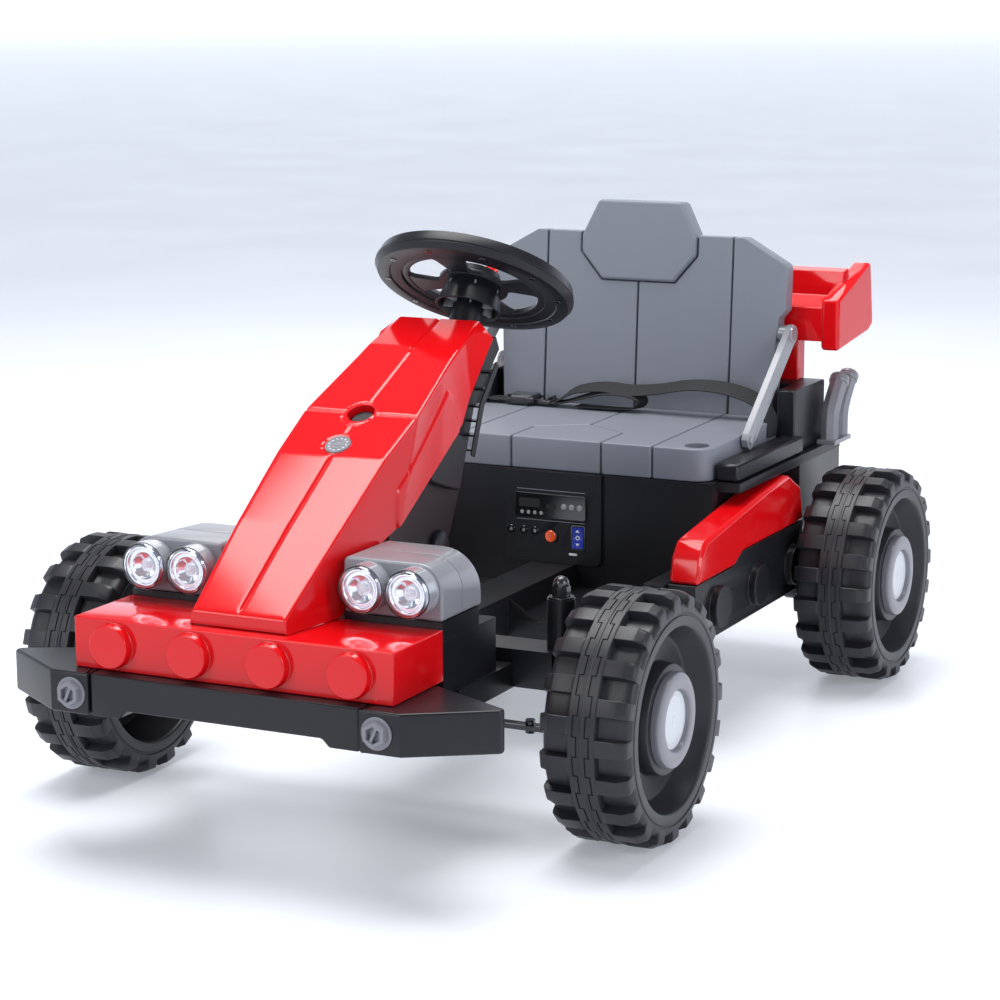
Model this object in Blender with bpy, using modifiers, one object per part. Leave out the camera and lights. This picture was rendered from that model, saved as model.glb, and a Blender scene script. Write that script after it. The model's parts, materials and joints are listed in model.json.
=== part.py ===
"""Kids electric go-kart: brick-style body, battery drive, linked steering and four lugged wheels.

Metres, +Z up, front faces -Y, +X is the driver's left and X = 0 the symmetry plane. The ground is
Z = 0, and the origin is on the ground under the middle of the kart's box. Run it with
blender --background --python part.py.
"""

from math import cos, pi, radians, sin, tan

import bmesh
import bpy
from mathutils import Matrix, Vector

# Clearances
SEAT_GAP = 0.0003
RUN_GAP = 0.0006

# Facets of round pieces
ROUND_SIDES = 20
SMALL_SIDES = 12
LARGE_SIDES = 24

# Wheels
WHEEL_RADIUS = 0.1325
WHEEL_WIDTH = 0.0959
FRONT_AXLE_Y = -0.3034
WHEELBASE = 0.7357
FRONT_TRACK = 0.6253
REAR_TRACK = 0.6149
LUG_COUNT = 20
LUG_SHARE = 0.44
LUG_DEPTH = 0.011
SHOULDER_WIDTH = 0.004
BAND_WIDTH = 0.028
BAND_STEP = 0.0005
RIM_RADIUS = 0.098
BOSS_RADIUS = 0.058
BOSS_RECESS = 0.008
DISH_DEPTH = 0.026
DISH_SLOPE = 0.013
DISH_OVERLAP = 0.006
WEB_THICKNESS = 0.012
HUB_RADIUS = 0.050
HUB_LIP_RADIUS = 0.0335
HUB_DEPTH = 0.0097
HUB_HOLLOW = 0.005
HUB_LIP_SLOPE = 0.003
INNER_BOSS_RADIUS = 0.024
AXLE_RADIUS = 0.006
AXLE_SHOULDER = 0.005
AXLE_INSET = 0.0085

# Front frame
BEAM_BOTTOM = 0.154
BEAM_TOP = 0.1945
BEAM_FRONT_Y = -0.327
BEAM_BACK_Y = -0.280
KINGPIN_X = 0.231
POST_RADIUS = 0.015
POST_TOP = 0.248
KINGPIN_RADIUS = 0.006
NUT_RADIUS = 0.0098
NUT_HEIGHT = 0.0115
NUT_DOME = 0.010
WASHER_RADIUS = 0.0135
WASHER_THICKNESS = 0.002
NOSE_HALF_WIDTH = 0.182
NOSE_FRONT_Y = -0.4747
NOSE_BACK_Y = -0.357
NOSE_TOP = 0.235
FLANGE_TOP = 0.180
FLANGE_OVERHANG = 0.005
FLANGE_FRONT_Y = -0.450
FLANGE_BACK_Y = -0.317
LAMP_BASE_TOP = 0.254
LAMP_BASE_BACK_Y = -0.394

# Bumper and front brick
BUMPER_BOTTOM = 0.151
BUMPER_FRONT_Y = -0.597
BUMPER_HALF_WIDTH = 0.1547
BUMPER_NOTCH_HALF_WIDTH = 0.112
BUMPER_NOTCH_HEIGHT = 0.008
CORNER_FRONT_Y = -0.599
CORNER_FRONT_LENGTH = 0.042
CORNER_TIP_X = 0.293
CORNER_TIP_FRONT_Y = -0.562
CORNER_TIP_BACK_Y = -0.541
CORNER_BACK_Y = -0.490
CORNER_BACK_LENGTH = 0.032
BUMPER_BOLT_X = 0.175
BUMPER_BOLT_RADIUS = 0.0132
BUMPER_BOLT_HEAD = 0.009
BUMPER_BOLT_SHANK = 0.0045
BUMPER_BOLT_REACH = 0.025
BRICK_HALF_WIDTH = 0.1827
BRICK_FRONT_Y = -0.5791
BRICK_TOP = 0.2474
BRICK_STUDS = 4
BRICK_STUD_PITCH = 0.0912
BRICK_STUD_RADIUS = 0.0225
BRICK_STUD_HEIGHT = 0.0105

# Lamps
POD_INNER_X = 0.071
POD_TOP = 0.3115
POD_BACK_Y = -0.390
POD_CORNER_RADIUS = 0.030
LENS_INNER_X = 0.101
LENS_OUTER_X = 0.1535
LENS_Z = 0.2865
LENS_RADIUS = 0.022
LENS_PROUD = 0.022
LENS_SEAT_DEPTH = 0.012

# Floor pan and seat box
TUNNEL_HALF_WIDTH = 0.028
TUNNEL_TOP = 0.1685
TUNNEL_BOTTOM = 0.122
TUNNEL_SLOT_HALF_WIDTH = 0.013
FLOOR_FRONT_Y = -0.015
FLOOR_TOP = 0.141
FLOOR_BOTTOM = 0.118
RIB_REACH = 0.036
RIB_THICKNESS = 0.004
SILL_INNER_X = 0.182
SILL_FRONT_Y = 0.0235
SILL_TOP = 0.190
BOX_HALF_WIDTH = 0.207
BOX_FRONT_Y = 0.172
BOX_BACK_Y = 0.540
BOX_TOP = 0.282
BOX_BOTTOM = 0.100
BOX_STEP_Y = 0.295
BOX_STEP_RISE = 0.020
LEDGE_HALF_WIDTH = 0.235
LEDGE_THICKNESS = 0.0115
LEDGE_FRONT_Y = 0.187
REAR_SIDE_FRONT_Y = 0.392
REAR_SIDE_BOTTOM = 0.190
BAY_HALF_WIDTH = 0.170
BAY_FRONT_Y = 0.196
BAY_BACK_Y = 0.385
BAY_WALL = 0.006
BATTERY_SIZE = (0.151, 0.098, 0.098)
BATTERY_X = -0.060
BATTERY_Y = 0.290
CONTROL_BOX_SIZE = (0.090, 0.070, 0.035)
CONTROL_BOX_X = 0.090
MOTOR_RADIUS = 0.042
MOTOR_CAN_RADIUS = 0.018
MOTOR_CAN_INSET = 0.012

# Side panels and skirts
PANEL_INNER_X = 0.2075
PANEL_OUTER_X = 0.2455
PANEL_CHAMFER = 0.004
SKIRT_OUTER_X = 0.2425
SKIRT_FRONT_Y = 0.033
SKIRT_BACK_Y = 0.385
SKIRT_BOTTOM = 0.118
PANEL_STEP_LOW = 0.1905
PANEL_STEP_HIGH = 0.203
PANEL_STEP_START_Y = 0.149
PANEL_STEP_END_Y = 0.176
SKIRT_STUDS = 3
SKIRT_STUD_PITCH = 0.1228
SKIRT_STUD_FIRST_Y = 0.0998
SKIRT_STUD_RADIUS = 0.02475
SKIRT_STUD_HEIGHT = 0.0095
SKIRT_STUD_Z = 0.154

# Seat
SEAT_FRONT_Y = 0.174
SEAT_BACK_Y = 0.4098
SEAT_HALF_WIDTH = 0.199
SEAT_TOP_FRONT = 0.3215
SEAT_TOP_BACK = 0.325
SEAT_CORNER_RADIUS = 0.020
SEAT_HOLE_X = 0.175
SEAT_HOLE_Y = 0.199
SEAT_HOLE_RADIUS = 0.015
SEAT_HOLE_DEPTH = 0.014
BACK_LEAN = radians(3.93)
BACK_THICKNESS = 0.029
BACK_BOTTOM_LIFT = 0.0024
BACK_BOTTOM_HALF_WIDTH = 0.186
BACK_WAIST_HALF_WIDTH = 0.192
BACK_WAIST_Z = 0.448
BACK_SHOULDER_HALF_WIDTH = 0.201
BACK_SHOULDER_LOW_Z = 0.459
BACK_SHOULDER_HIGH_Z = 0.515
BACK_TOP_HALF_WIDTH = 0.143
BACK_TOP_Z = 0.5475
HEADREST_TOP_HALF_WIDTH = 0.0565
HEADREST_HALF_WIDTH = 0.079
HEADREST_BOTTOM_HALF_WIDTH = 0.0495
HEADREST_TOP_Z = 0.5885
HEADREST_HIGH_Z = 0.543
HEADREST_LOW_Z = 0.5215
HEADREST_BOTTOM_Z = 0.487
HEADREST_PROUD = 0.004
STRUT_INNER_X = 0.2015
STRUT_THICKNESS = 0.0078
STRUT_HALF_WIDTH = 0.012
STRUT_LOW = (0.2877, 0.3167)
STRUT_HIGH = (0.431, 0.4283)
STRUT_LOW_PIN_RADIUS = 0.0045
STRUT_HIGH_PIN_RADIUS = 0.011
STRUT_PIN_PROUD = 0.0015

# Belt
STRAP_WIDTH = 0.025
STRAP_THICKNESS = 0.0022
STRAP_FRONT_Y = 0.368
STRAP_REACH = 0.194
STRAP_ARC_HEIGHT = 0.036
STRAP_FOOT_X = 0.2008
STRAP_FOOT_SHARE = 0.985
BUCKLE_RIGHT_X = -0.160
BUCKLE_WIDTH = 0.062
BUCKLE_DEPTH = 0.034
BUCKLE_HEIGHT = 0.013

# Rear box, spoiler and exhausts
REAR_BOX_HALF_WIDTH = 0.224
REAR_BOX_FRONT_Y = 0.400
REAR_BOX_BACK_Y = 0.509
REAR_BOX_TOP = 0.362
REAR_BOX_RECESS_Y = 0.457
SIDE_BAR_INNER_X = 0.2025
SIDE_BAR_OUTER_X = 0.232
SIDE_BAR_TOP = 0.304
END_PLATE_INNER_X = 0.236
END_PLATE_OUTER_X = 0.260
SPOILER_FRONT_Y = 0.456
SPOILER_BACK_Y = 0.589
SPOILER_TOP = 0.5065
WING_TOP = 0.503
SPOILER_POST_INNER_X = 0.165
SPOILER_POST_OUTER_X = 0.197
SPOILER_POST_DEPTH = 0.028
SPOILER_POST_TOP = 0.440
EXHAUST_X = 0.2375
EXHAUST_RADIUS = 0.012
EXHAUST_FIRST_Y = 0.492
EXHAUST_PITCH = 0.036
EXHAUST_SHIFT = 0.038
EXHAUST_BEND_Z = 0.322
EXHAUST_TOP = 0.363
EXHAUST_FLANGE = 0.006

# Hood
HOOD_WALL = 0.003
HOOD_HOLE_Y = -0.3074
HOOD_HOLE_RADIUS = 0.015
HOOD_BADGE_Y = -0.357
HOOD_BADGE_RADIUS = 0.014
HOOD_BADGE_THICKNESS = 0.002
HOOD_BOLT_RADIUS = 0.0105
HOOD_BOLT_HEAD = 0.006
HOOD_BOLT_DEPTH = 0.004
BOLT_BOSS_RADIUS = 0.012
BOLT_BOSS_LENGTH = 0.070

# Steering
STEER_TILT = radians(30.8)
STEER_WHEEL_Y = -0.0405
STEER_WHEEL_Z = 0.5341
STEER_RIM_RADIUS = 0.1155
STEER_RIM_BELOW = 0.0085
STEER_RIM_ABOVE = 0.0145
STEER_RIM_WIDTH = 0.0325
STEER_SIDES = 36
STEER_PLATE_THICKNESS = 0.008
STEER_HUB_RADIUS = 0.030
STEER_COLLAR_RADIUS = 0.0377
STEER_COLLAR_DEPTH = 0.0327
STEER_OPENING_INNER = 0.038
STEER_OPENING_OUTER = 0.076
STEER_OPENING_ANGLE = radians(30)
SHAFT_RADIUS = 0.007
CRANK_FOOT_Z = 0.110
CRANK_LENGTH = 0.030
CRANK_RISE = 0.0112
CRANK_THICKNESS = 0.006
CRANK_HALF_WIDTH = 0.007
CRANK_PIN_RADIUS = 0.004
COLUMN_HALF_WIDTH = 0.038
COLUMN_TUBE_RADIUS = 0.018
COLUMN_TUBE_START = 0.016
COLUMN_TUBE_END = 0.140
ARM_HALF_WIDTH = 0.008
ARM_THICKNESS = 0.008
ARM_PIN_RADIUS = 0.004
TIE_THICKNESS = 0.005
TIE_HALF_WIDTH = 0.008
TIE_PLATE_HALF_WIDTH = 0.014
TIE_SLOT_HALF_LENGTH = 0.0088
TIE_BOLT_X = 0.178
TIE_BOLT_RADIUS = 0.0055
TIE_BOLT_ABOVE = 0.006
PIN_PROUD = 0.004
SHAFT_SLOT_ROOM = 0.028

# Control panel
CONSOLE_HALF_WIDTH = 0.064
CONSOLE_THICKNESS = 0.0047
CONSOLE_CORNER = 0.010
POCKET_DEPTH = 0.0042
POWER_X = -0.0025
POWER_Z = 0.202
POWER_RADIUS = 0.0085
SWITCH_PROUD = 0.003
SWITCH_SINK = 0.002
DIRECTION_X = 0.034
DIRECTION_Z = 0.203
DIRECTION_WIDTH = 0.0145
DIRECTION_HEIGHT = 0.026
MEDIA_LOW = (-0.050, 0.224)
MEDIA_HIGH = (0.045, 0.2545)
MEDIA_THICKNESS = 0.0027

# Pedal
PEDAL_X = -0.130
PEDAL_Z = 0.178
PEDAL_WIDTH = 0.070
PEDAL_LENGTH = 0.085
PEDAL_THICKNESS = 0.006
PEDAL_LEAN = radians(20)
PEDAL_HUB_RADIUS = 0.006
PEDAL_PIN_RADIUS = 0.003
EAR_THICKNESS = 0.004
EAR_REACH = 0.0175
EAR_HALF_HEIGHT = 0.009
PEDAL_BACK_SET = 0.0115

# Places that follow from the sizes above
AXLE_Z = WHEEL_RADIUS
REAR_AXLE_Y = FRONT_AXLE_Y + WHEELBASE
BAY_FLOOR = BOX_BOTTOM + BOX_STEP_RISE + BAY_WALL
SEAT_BOTTOM = BOX_TOP + SEAT_GAP
BRICK_BOTTOM = BEAM_TOP + SEAT_GAP
BRICK_BACK_Y = NOSE_FRONT_Y - SEAT_GAP
REAR_BOX_RECESS_HALF_WIDTH = SEAT_HALF_WIDTH + RUN_GAP
BOLT_FRONT_Y = CORNER_FRONT_Y - SEAT_GAP - BUMPER_BOLT_HEAD
MIDDLE_Y = (BOLT_FRONT_Y + SPOILER_BACK_Y) / 2
STEER_DOWN = Vector((0, -sin(STEER_TILT), -cos(STEER_TILT)))
STEER_CENTRE = Vector((0, STEER_WHEEL_Y, STEER_WHEEL_Z))
CRANK_DISTANCE = (STEER_WHEEL_Z - CRANK_FOOT_Z) / cos(STEER_TILT)
CRANK_FOOT = STEER_CENTRE + STEER_DOWN * CRANK_DISTANCE
TIE_Y = CRANK_FOOT.y + CRANK_LENGTH * cos(STEER_TILT)
TIE_Z = CRANK_FOOT.z - CRANK_LENGTH * sin(STEER_TILT)
TIE_TOP = TIE_Z + TIE_THICKNESS / 2
PEDAL_Y = BEAM_BACK_Y + PEDAL_BACK_SET
CONSOLE_FRONT_Y = BOX_FRONT_Y - SEAT_GAP - CONSOLE_THICKNESS
FRONT_WHEEL_X = FRONT_TRACK / 2
REAR_WHEEL_X = REAR_TRACK / 2

# Outlines seen from the side, as (y, z)
PANEL_EDGE = [
    (SKIRT_BACK_Y - 0.004, PANEL_STEP_HIGH),
    (0.369, 0.250),
    (0.329, 0.2694),
    (0.233, 0.261),
    (0.060, 0.2387),
    (SKIRT_FRONT_Y + 0.011, 0.221),
    (SKIRT_FRONT_Y + 0.002, PANEL_STEP_LOW),
]
END_PLATE_EDGE = [
    (SPOILER_FRONT_Y, 0.406),
    (0.5665, 0.4167),
    (SPOILER_BACK_Y, 0.427),
    (SPOILER_BACK_Y, 0.434),
    (SPOILER_BACK_Y - 0.011, SPOILER_TOP),
    (SPOILER_BACK_Y - 0.022, SPOILER_TOP - 0.0025),
    (SPOILER_FRONT_Y, 0.470),
]
WING_EDGE = [
    (SPOILER_FRONT_Y + 0.0015, 0.417),
    (0.545, 0.424),
    (0.530, WING_TOP),
    (0.512, WING_TOP - 0.003),
    (0.504, 0.470),
    (SPOILER_FRONT_Y + 0.0015, 0.460),
]
COLUMN_EDGE = [
    (BEAM_FRONT_Y, BEAM_TOP + SEAT_GAP),
    (BEAM_BACK_Y + SEAT_GAP, BEAM_TOP + SEAT_GAP),
    (BEAM_BACK_Y + SEAT_GAP, TUNNEL_TOP + SEAT_GAP),
    (-0.205, TUNNEL_TOP + SEAT_GAP),
    (-0.187, 0.262),
    (-0.150, 0.330),
    (-0.118, 0.407),
    (-0.054, 0.463),
    (-0.062, 0.478),
    (-0.118, 0.470),
    (-0.200, 0.400),
    (-0.290, 0.352),
    (-0.318, 0.300),
]

# Rows of the hood: the ridge line (y, z, half width) and the lower side edge (y, z, half width)
HOOD_ROWS = [
    ((-0.562, 0.2624, 0.0535), (-0.562, 0.2480, 0.0560)),
    ((-0.460, 0.3340, 0.0605), (-0.4735, 0.2548, 0.0680)),
    ((-0.3723, 0.3917, 0.0640), (-0.3927, 0.3078, 0.0690)),
    ((-0.3070, 0.4260, 0.0674), (-0.3570, 0.3204, 0.0715)),
    ((-0.2100, 0.4712, 0.0570), (-0.2122, 0.4040, 0.0715)),
    ((-0.1885, 0.4810, 0.0555), (-0.1935, 0.4300, 0.0710)),
    ((-0.1265, 0.5044, 0.0485), (-0.1335, 0.4880, 0.0700)),
]


# Scene, collections and materials

def clear_scene():
    for item in list(bpy.data.objects):
        bpy.data.objects.remove(item, do_unlink=True)


def new_collection(name):
    group = bpy.data.collections.new(name)
    bpy.context.scene.collection.children.link(group)
    return group


def new_material(name, colour, roughness, metallic=0.0, alpha=1.0):
    finish = bpy.data.materials.new(name)
    finish.use_nodes = True
    shader = finish.node_tree.nodes["Principled BSDF"]
    shader.inputs["Base Color"].default_value = (*colour, 1.0)
    shader.inputs["Roughness"].default_value = roughness
    shader.inputs["Metallic"].default_value = metallic
    shader.inputs["Alpha"].default_value = alpha
    return finish


clear_scene()
KART = new_collection("kids_go_kart")
TOOLS = new_collection("cutters")
BLACK = new_material("black_plastic", (0.012, 0.012, 0.013), 0.45)
TREAD = new_material("tread_plastic", (0.016, 0.016, 0.017), 0.62)
RED = new_material("red_plastic", (0.70, 0.012, 0.010), 0.16)
GREY = new_material("seat_grey", (0.175, 0.185, 0.210), 0.42)
SILVER = new_material("silver_grey", (0.27, 0.275, 0.29), 0.36)
STEEL = new_material("steel", (0.55, 0.55, 0.56), 0.30, 1.0)
CLEAR = new_material("clear_lens", (0.85, 0.87, 0.88), 0.05, 0.0, 0.35)
WEBBING = new_material("webbing", (0.010, 0.010, 0.011), 0.85)
ORANGE = new_material("orange_switch", (0.80, 0.15, 0.02), 0.30)
BLUE = new_material("blue_switch", (0.02, 0.13, 0.60), 0.30)


# Placing helpers

def new_empty(name, location, parent=None, rotation=(0, 0, 0)):
    empty = bpy.data.objects.new(name, None)
    KART.objects.link(empty)
    empty.parent = parent
    empty.location = location
    empty.rotation_euler = rotation
    return empty


ROOT = new_empty("kart_middle", (0, -MIDDLE_Y, 0))


def new_object(name, mesh, finish, parent):
    piece = bpy.data.objects.new(name, mesh)
    KART.objects.link(piece)
    piece.parent = parent or ROOT
    if finish:
        mesh.materials.append(finish)
    return piece


def bevelled(piece, width, segments=1, angle=radians(30)):
    edge = piece.modifiers.new("edges", "BEVEL")
    edge.width = width
    edge.segments = segments
    edge.limit_method = "ANGLE"
    edge.angle_limit = angle
    return piece


def combined(piece, tool, operation):
    step = piece.modifiers.new(tool.name, "BOOLEAN")
    step.operation = operation
    step.solver = "EXACT"
    step.object = tool
    KART.objects.unlink(tool)
    TOOLS.objects.link(tool)
    tool.hide_render = True
    tool.display_type = "WIRE"
    return piece


def add(piece, *tools):
    for tool in tools:
        combined(piece, tool, "UNION")
    return piece


def cut(piece, *tools):
    for tool in tools:
        combined(piece, tool, "DIFFERENCE")
    return piece


def mirrored(piece, name, parent=None):
    """A copy of the finished piece on the other side of the plane X = 0."""
    bpy.context.view_layer.update()
    finished = piece.evaluated_get(bpy.context.evaluated_depsgraph_get())
    mesh = bpy.data.meshes.new_from_object(finished)
    parent = parent or ROOT
    flip = Matrix.Scale(-1, 4, (1, 0, 0))
    mesh.transform(parent.matrix_world.inverted() @ flip @ piece.matrix_world)
    mesh.flip_normals()
    return new_object(name, mesh, None, parent)


# Shape helpers

def box(name, low, high, finish=None, parent=None):
    size = [high[i] - low[i] for i in range(3)]
    mesh = bpy.data.meshes.new(name)
    shape = bmesh.new()
    bmesh.ops.create_cube(shape, size=1.0)
    bmesh.ops.scale(shape, vec=size, verts=shape.verts)
    shape.to_mesh(mesh)
    shape.free()
    piece = new_object(name, mesh, finish, parent)
    piece.location = [(high[i] + low[i]) / 2 for i in range(3)]
    return piece


def rod(name, radius, start, end, finish=None, parent=None, sides=ROUND_SIDES, end_radius=None, turn=0.07):
    """A cylinder, cone or prism from one point to another."""
    start = Vector(start)
    along = Vector(end) - start
    mesh = bpy.data.meshes.new(name)
    shape = bmesh.new()
    bmesh.ops.create_cone(
        shape, cap_ends=True, segments=sides, radius1=radius,
        radius2=radius if end_radius is None else end_radius, depth=along.length,
        matrix=Matrix.Rotation(turn, 4, "Z"))
    shape.to_mesh(mesh)
    shape.free()
    mesh.shade_smooth()
    mesh.set_sharp_from_angle(angle=radians(35))
    piece = new_object(name, mesh, finish, parent)
    piece.location = start + along / 2
    piece.rotation_euler = along.to_track_quat("Z", "Y").to_euler()
    return piece


def turned(name, profile, steps, finish=None, parent=None, ring=False):
    """A profile of (radius, height) points, top to bottom on its outer side, turned about Z."""
    points = [(radius, 0.0, height) for radius, height in profile]
    edges = [(i, i + 1) for i in range(len(points) - 1)]
    if ring:
        edges.append((len(points) - 1, 0))
    mesh = bpy.data.meshes.new(name)
    mesh.from_pydata(points, edges, [])
    piece = new_object(name, mesh, finish, parent)
    lathe = piece.modifiers.new("turn", "SCREW")
    lathe.axis = "Z"
    lathe.angle = 2 * pi
    lathe.screw_offset = 0.0
    lathe.steps = steps
    lathe.render_steps = steps
    lathe.use_merge_vertices = True
    lathe.merge_threshold = 0.00001
    return piece


PLANES = {
    "plan": Matrix.Identity(4),
    "front": Matrix(((1, 0, 0, 0), (0, 0, -1, 0), (0, 1, 0, 0), (0, 0, 0, 1))),
    "side": Matrix(((0, 0, 1, 0), (1, 0, 0, 0), (0, 1, 0, 0), (0, 0, 0, 1))),
}


def outline(name, points, start, end, plane, finish=None, parent=None):
    """A flat outline, drawn in plan (x, y), from the front (x, z) or from the side (y, z)."""
    curve = bpy.data.curves.new(name, "CURVE")
    curve.dimensions = "2D"
    curve.fill_mode = "BOTH"
    curve.extrude = (end - start) / 2
    line = curve.splines.new("POLY")
    line.points.add(len(points) - 1)
    for point, place in zip(line.points, points):
        point.co = (place[0], place[1], 0, 1)
    line.use_cyclic_u = True
    drawing = bpy.data.objects.new(name + "_outline", curve)
    KART.objects.link(drawing)
    bpy.context.view_layer.update()
    finished = drawing.evaluated_get(bpy.context.evaluated_depsgraph_get())
    mesh = bpy.data.meshes.new_from_object(finished)
    shape = bmesh.new()
    shape.from_mesh(mesh)
    bmesh.ops.remove_doubles(shape, verts=shape.verts, dist=0.00001)
    bmesh.ops.recalc_face_normals(shape, faces=shape.faces)
    shape.to_mesh(mesh)
    shape.free()
    mesh.materials.clear()
    bpy.data.objects.remove(drawing)
    piece = new_object(name, mesh, finish, parent)
    axis = {"plan": 2, "front": 1, "side": 0}[plane]
    place = Vector((0, 0, 0))
    place[axis] = (start + end) / 2
    piece.matrix_local = Matrix.Translation(place) @ PLANES[plane]
    return piece


def pipe(name, route, radius):
    """A closed tube along a route of points, made a mesh so that it can be joined."""
    curve = bpy.data.curves.new(name, "CURVE")
    curve.dimensions = "3D"
    curve.bevel_depth = radius
    curve.bevel_resolution = 2
    curve.use_fill_caps = True
    line = curve.splines.new("POLY")
    line.points.add(len(route) - 1)
    for point, place in zip(line.points, route):
        point.co = (*place, 1)
    drawing = bpy.data.objects.new(name, curve)
    KART.objects.link(drawing)
    bpy.context.view_layer.update()
    finished = drawing.evaluated_get(bpy.context.evaluated_depsgraph_get())
    mesh = bpy.data.meshes.new_from_object(finished)
    shape = bmesh.new()
    shape.from_mesh(mesh)
    bmesh.ops.remove_doubles(shape, verts=shape.verts, dist=0.00001)
    bmesh.ops.recalc_face_normals(shape, faces=shape.faces)
    shape.to_mesh(mesh)
    shape.free()
    bpy.data.objects.remove(drawing)
    return new_object(name, mesh, None, ROOT)


def rounded(corners, steps=4):
    """An outline's points from corners (a, b, radius), with an arc at each corner that has a radius."""
    points = []
    count = len(corners)
    for index, (a, b, radius) in enumerate(corners):
        here = Vector((a, b))
        if radius == 0:
            points.append((a, b))
            continue
        before = (Vector(corners[index - 1][:2]) - here).normalized()
        after = (Vector(corners[(index + 1) % count][:2]) - here).normalized()
        half = before.angle(after) / 2
        centre = here + (before + after).normalized() * (radius / sin(half))
        first = here + before * (radius / tan(half)) - centre
        sweep = first.angle_signed(here + after * (radius / tan(half)) - centre)
        for step in range(steps + 1):
            spoke = first.copy()
            spoke.rotate(Matrix.Rotation(-sweep * step / steps, 2))
            points.append(tuple(centre + spoke))
    return points


def both_halves(half):
    """A closed outline from its left half, listed from one end of the mirror line to the other."""
    return half + [(-place[0], *place[1:]) for place in reversed(half)]


def arc(radius, start, end, steps, centre=(0, 0)):
    angles = [start + (end - start) * step / steps for step in range(steps + 1)]
    return [(centre[0] + radius * cos(angle), centre[1] + radius * sin(angle)) for angle in angles]


# Wheels

def tyre_rings():
    """The tread's rings from the outer face to the inner one: (x, lug radius, gap radius, row)."""
    half = WHEEL_WIDTH / 2
    band = BAND_WIDTH / 2
    low = WHEEL_RADIUS - LUG_DEPTH
    tread = (half - SHOULDER_WIDTH, WHEEL_RADIUS, low)
    inner = (band + BAND_STEP, WHEEL_RADIUS, low)
    rows = [(half, RIM_RADIUS, RIM_RADIUS, 0)]
    rows += [(*ring, 0) for ring in (tread, inner)]
    rows += [(band, WHEEL_RADIUS, WHEEL_RADIUS, 0), (-band, WHEEL_RADIUS, WHEEL_RADIUS, 0)]
    rows += [(-x, lug, gap, 1) for x, lug, gap in (inner, tread)]
    rows += [(-half, RIM_RADIUS, RIM_RADIUS, 0)]
    return rows


def tyre(name, parent):
    """The lugged ring: two rows of lugs, half a pitch apart, on each side of a plain band."""
    pitch = 2 * pi / LUG_COUNT
    rows = tyre_rings()
    angles = []
    for lug in range(LUG_COUNT):
        for start, row in ((0.0, 0), (0.5, 1)):
            angles.append(((lug + start) * pitch, row))
            angles.append(((lug + start + LUG_SHARE) * pitch, row))
    points = []
    for angle, high_row in angles:
        for x, lug_radius, gap_radius, row in rows:
            radius = lug_radius if row == high_row else gap_radius
            points.append((x, radius * cos(angle), radius * sin(angle)))
    count = len(rows)
    faces = []
    for step in range(len(angles)):
        here = step * count
        there = (step + 1) % len(angles) * count
        for ring in range(count):
            after = (ring + 1) % count
            faces.append((here + ring, here + after, there + after, there + ring))
    mesh = bpy.data.meshes.new(name)
    mesh.from_pydata(points, [], faces)
    shape = bmesh.new()
    shape.from_mesh(mesh)
    bmesh.ops.recalc_face_normals(shape, faces=shape.faces)
    shape.to_mesh(mesh)
    shape.free()
    return new_object(name, mesh, TREAD, parent)


def wheel(place, x, axle_y, side, parent):
    """One wheel on an axle along X: the tyre with its dish and boss, and the grey hub in the boss."""
    pivot = new_empty("pivot_wheel_" + place, (x * side, axle_y, AXLE_Z) if parent is ROOT
                      else (x * side - parent.location.x, 0, 0), parent)
    pivot.rotation_euler = (0, 0, 0 if side > 0 else pi)
    half = WHEEL_WIDTH / 2
    boss_face = half - BOSS_RECESS
    bore = AXLE_RADIUS + RUN_GAP
    dish = half - DISH_DEPTH
    profile = [
        (bore, boss_face),
        (BOSS_RADIUS, boss_face),
        (BOSS_RADIUS + 0.002, dish + DISH_SLOPE),
        (RIM_RADIUS + DISH_OVERLAP, dish),
        (RIM_RADIUS + DISH_OVERLAP, dish - WEB_THICKNESS),
        (BOSS_RADIUS, dish - WEB_THICKNESS),
        (INNER_BOSS_RADIUS, -boss_face),
        (bore, -boss_face),
    ]
    dish_piece = turned("dish_" + place, profile, LARGE_SIDES, TREAD, pivot, ring=True)
    dish_piece.rotation_euler = (0, pi / 2, 0)
    add(tyre("wheel_" + place, pivot), dish_piece)
    face = boss_face + SEAT_GAP
    top = face + HUB_DEPTH
    cap = [
        (0, top - HUB_HOLLOW),
        (HUB_LIP_RADIUS - HUB_LIP_SLOPE, top - HUB_HOLLOW),
        (HUB_LIP_RADIUS, top),
        (HUB_RADIUS, top - 0.001),
        (HUB_RADIUS, face),
        (0, face),
    ]
    hub = turned("hub_" + place, cap, LARGE_SIDES, SILVER, pivot)
    hub.rotation_euler = (0, pi / 2, 0)


def rear_axle():
    reach = REAR_WHEEL_X + WHEEL_WIDTH / 2 - AXLE_INSET
    rod("rear_axle", AXLE_RADIUS, (-reach, REAR_AXLE_Y, AXLE_Z), (reach, REAR_AXLE_Y, AXLE_Z), STEEL)


def motors():
    """Gear motors beside the seat box, round the rear axle, in the hollow of each rear wheel."""
    start = BOX_HALF_WIDTH + SEAT_GAP
    end = REAR_WHEEL_X - WHEEL_WIDTH / 2 + BOSS_RECESS - RUN_GAP
    centre = (REAR_AXLE_Y, AXLE_Z)
    case = rod("motor_left", MOTOR_RADIUS, (start, *centre), (end, *centre), BLACK)
    can_y = REAR_AXLE_Y + MOTOR_RADIUS
    can_end = end - MOTOR_CAN_INSET
    can = rod("motor_can", MOTOR_CAN_RADIUS, (start, can_y, AXLE_Z), (can_end, can_y, AXLE_Z))
    bore = rod("motor_bore", AXLE_RADIUS + RUN_GAP, (start - 0.01, *centre), (end + 0.01, *centre))
    cut(add(case, can), bore)
    mirrored(case, "motor_right")


# Front frame and bumper

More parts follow.
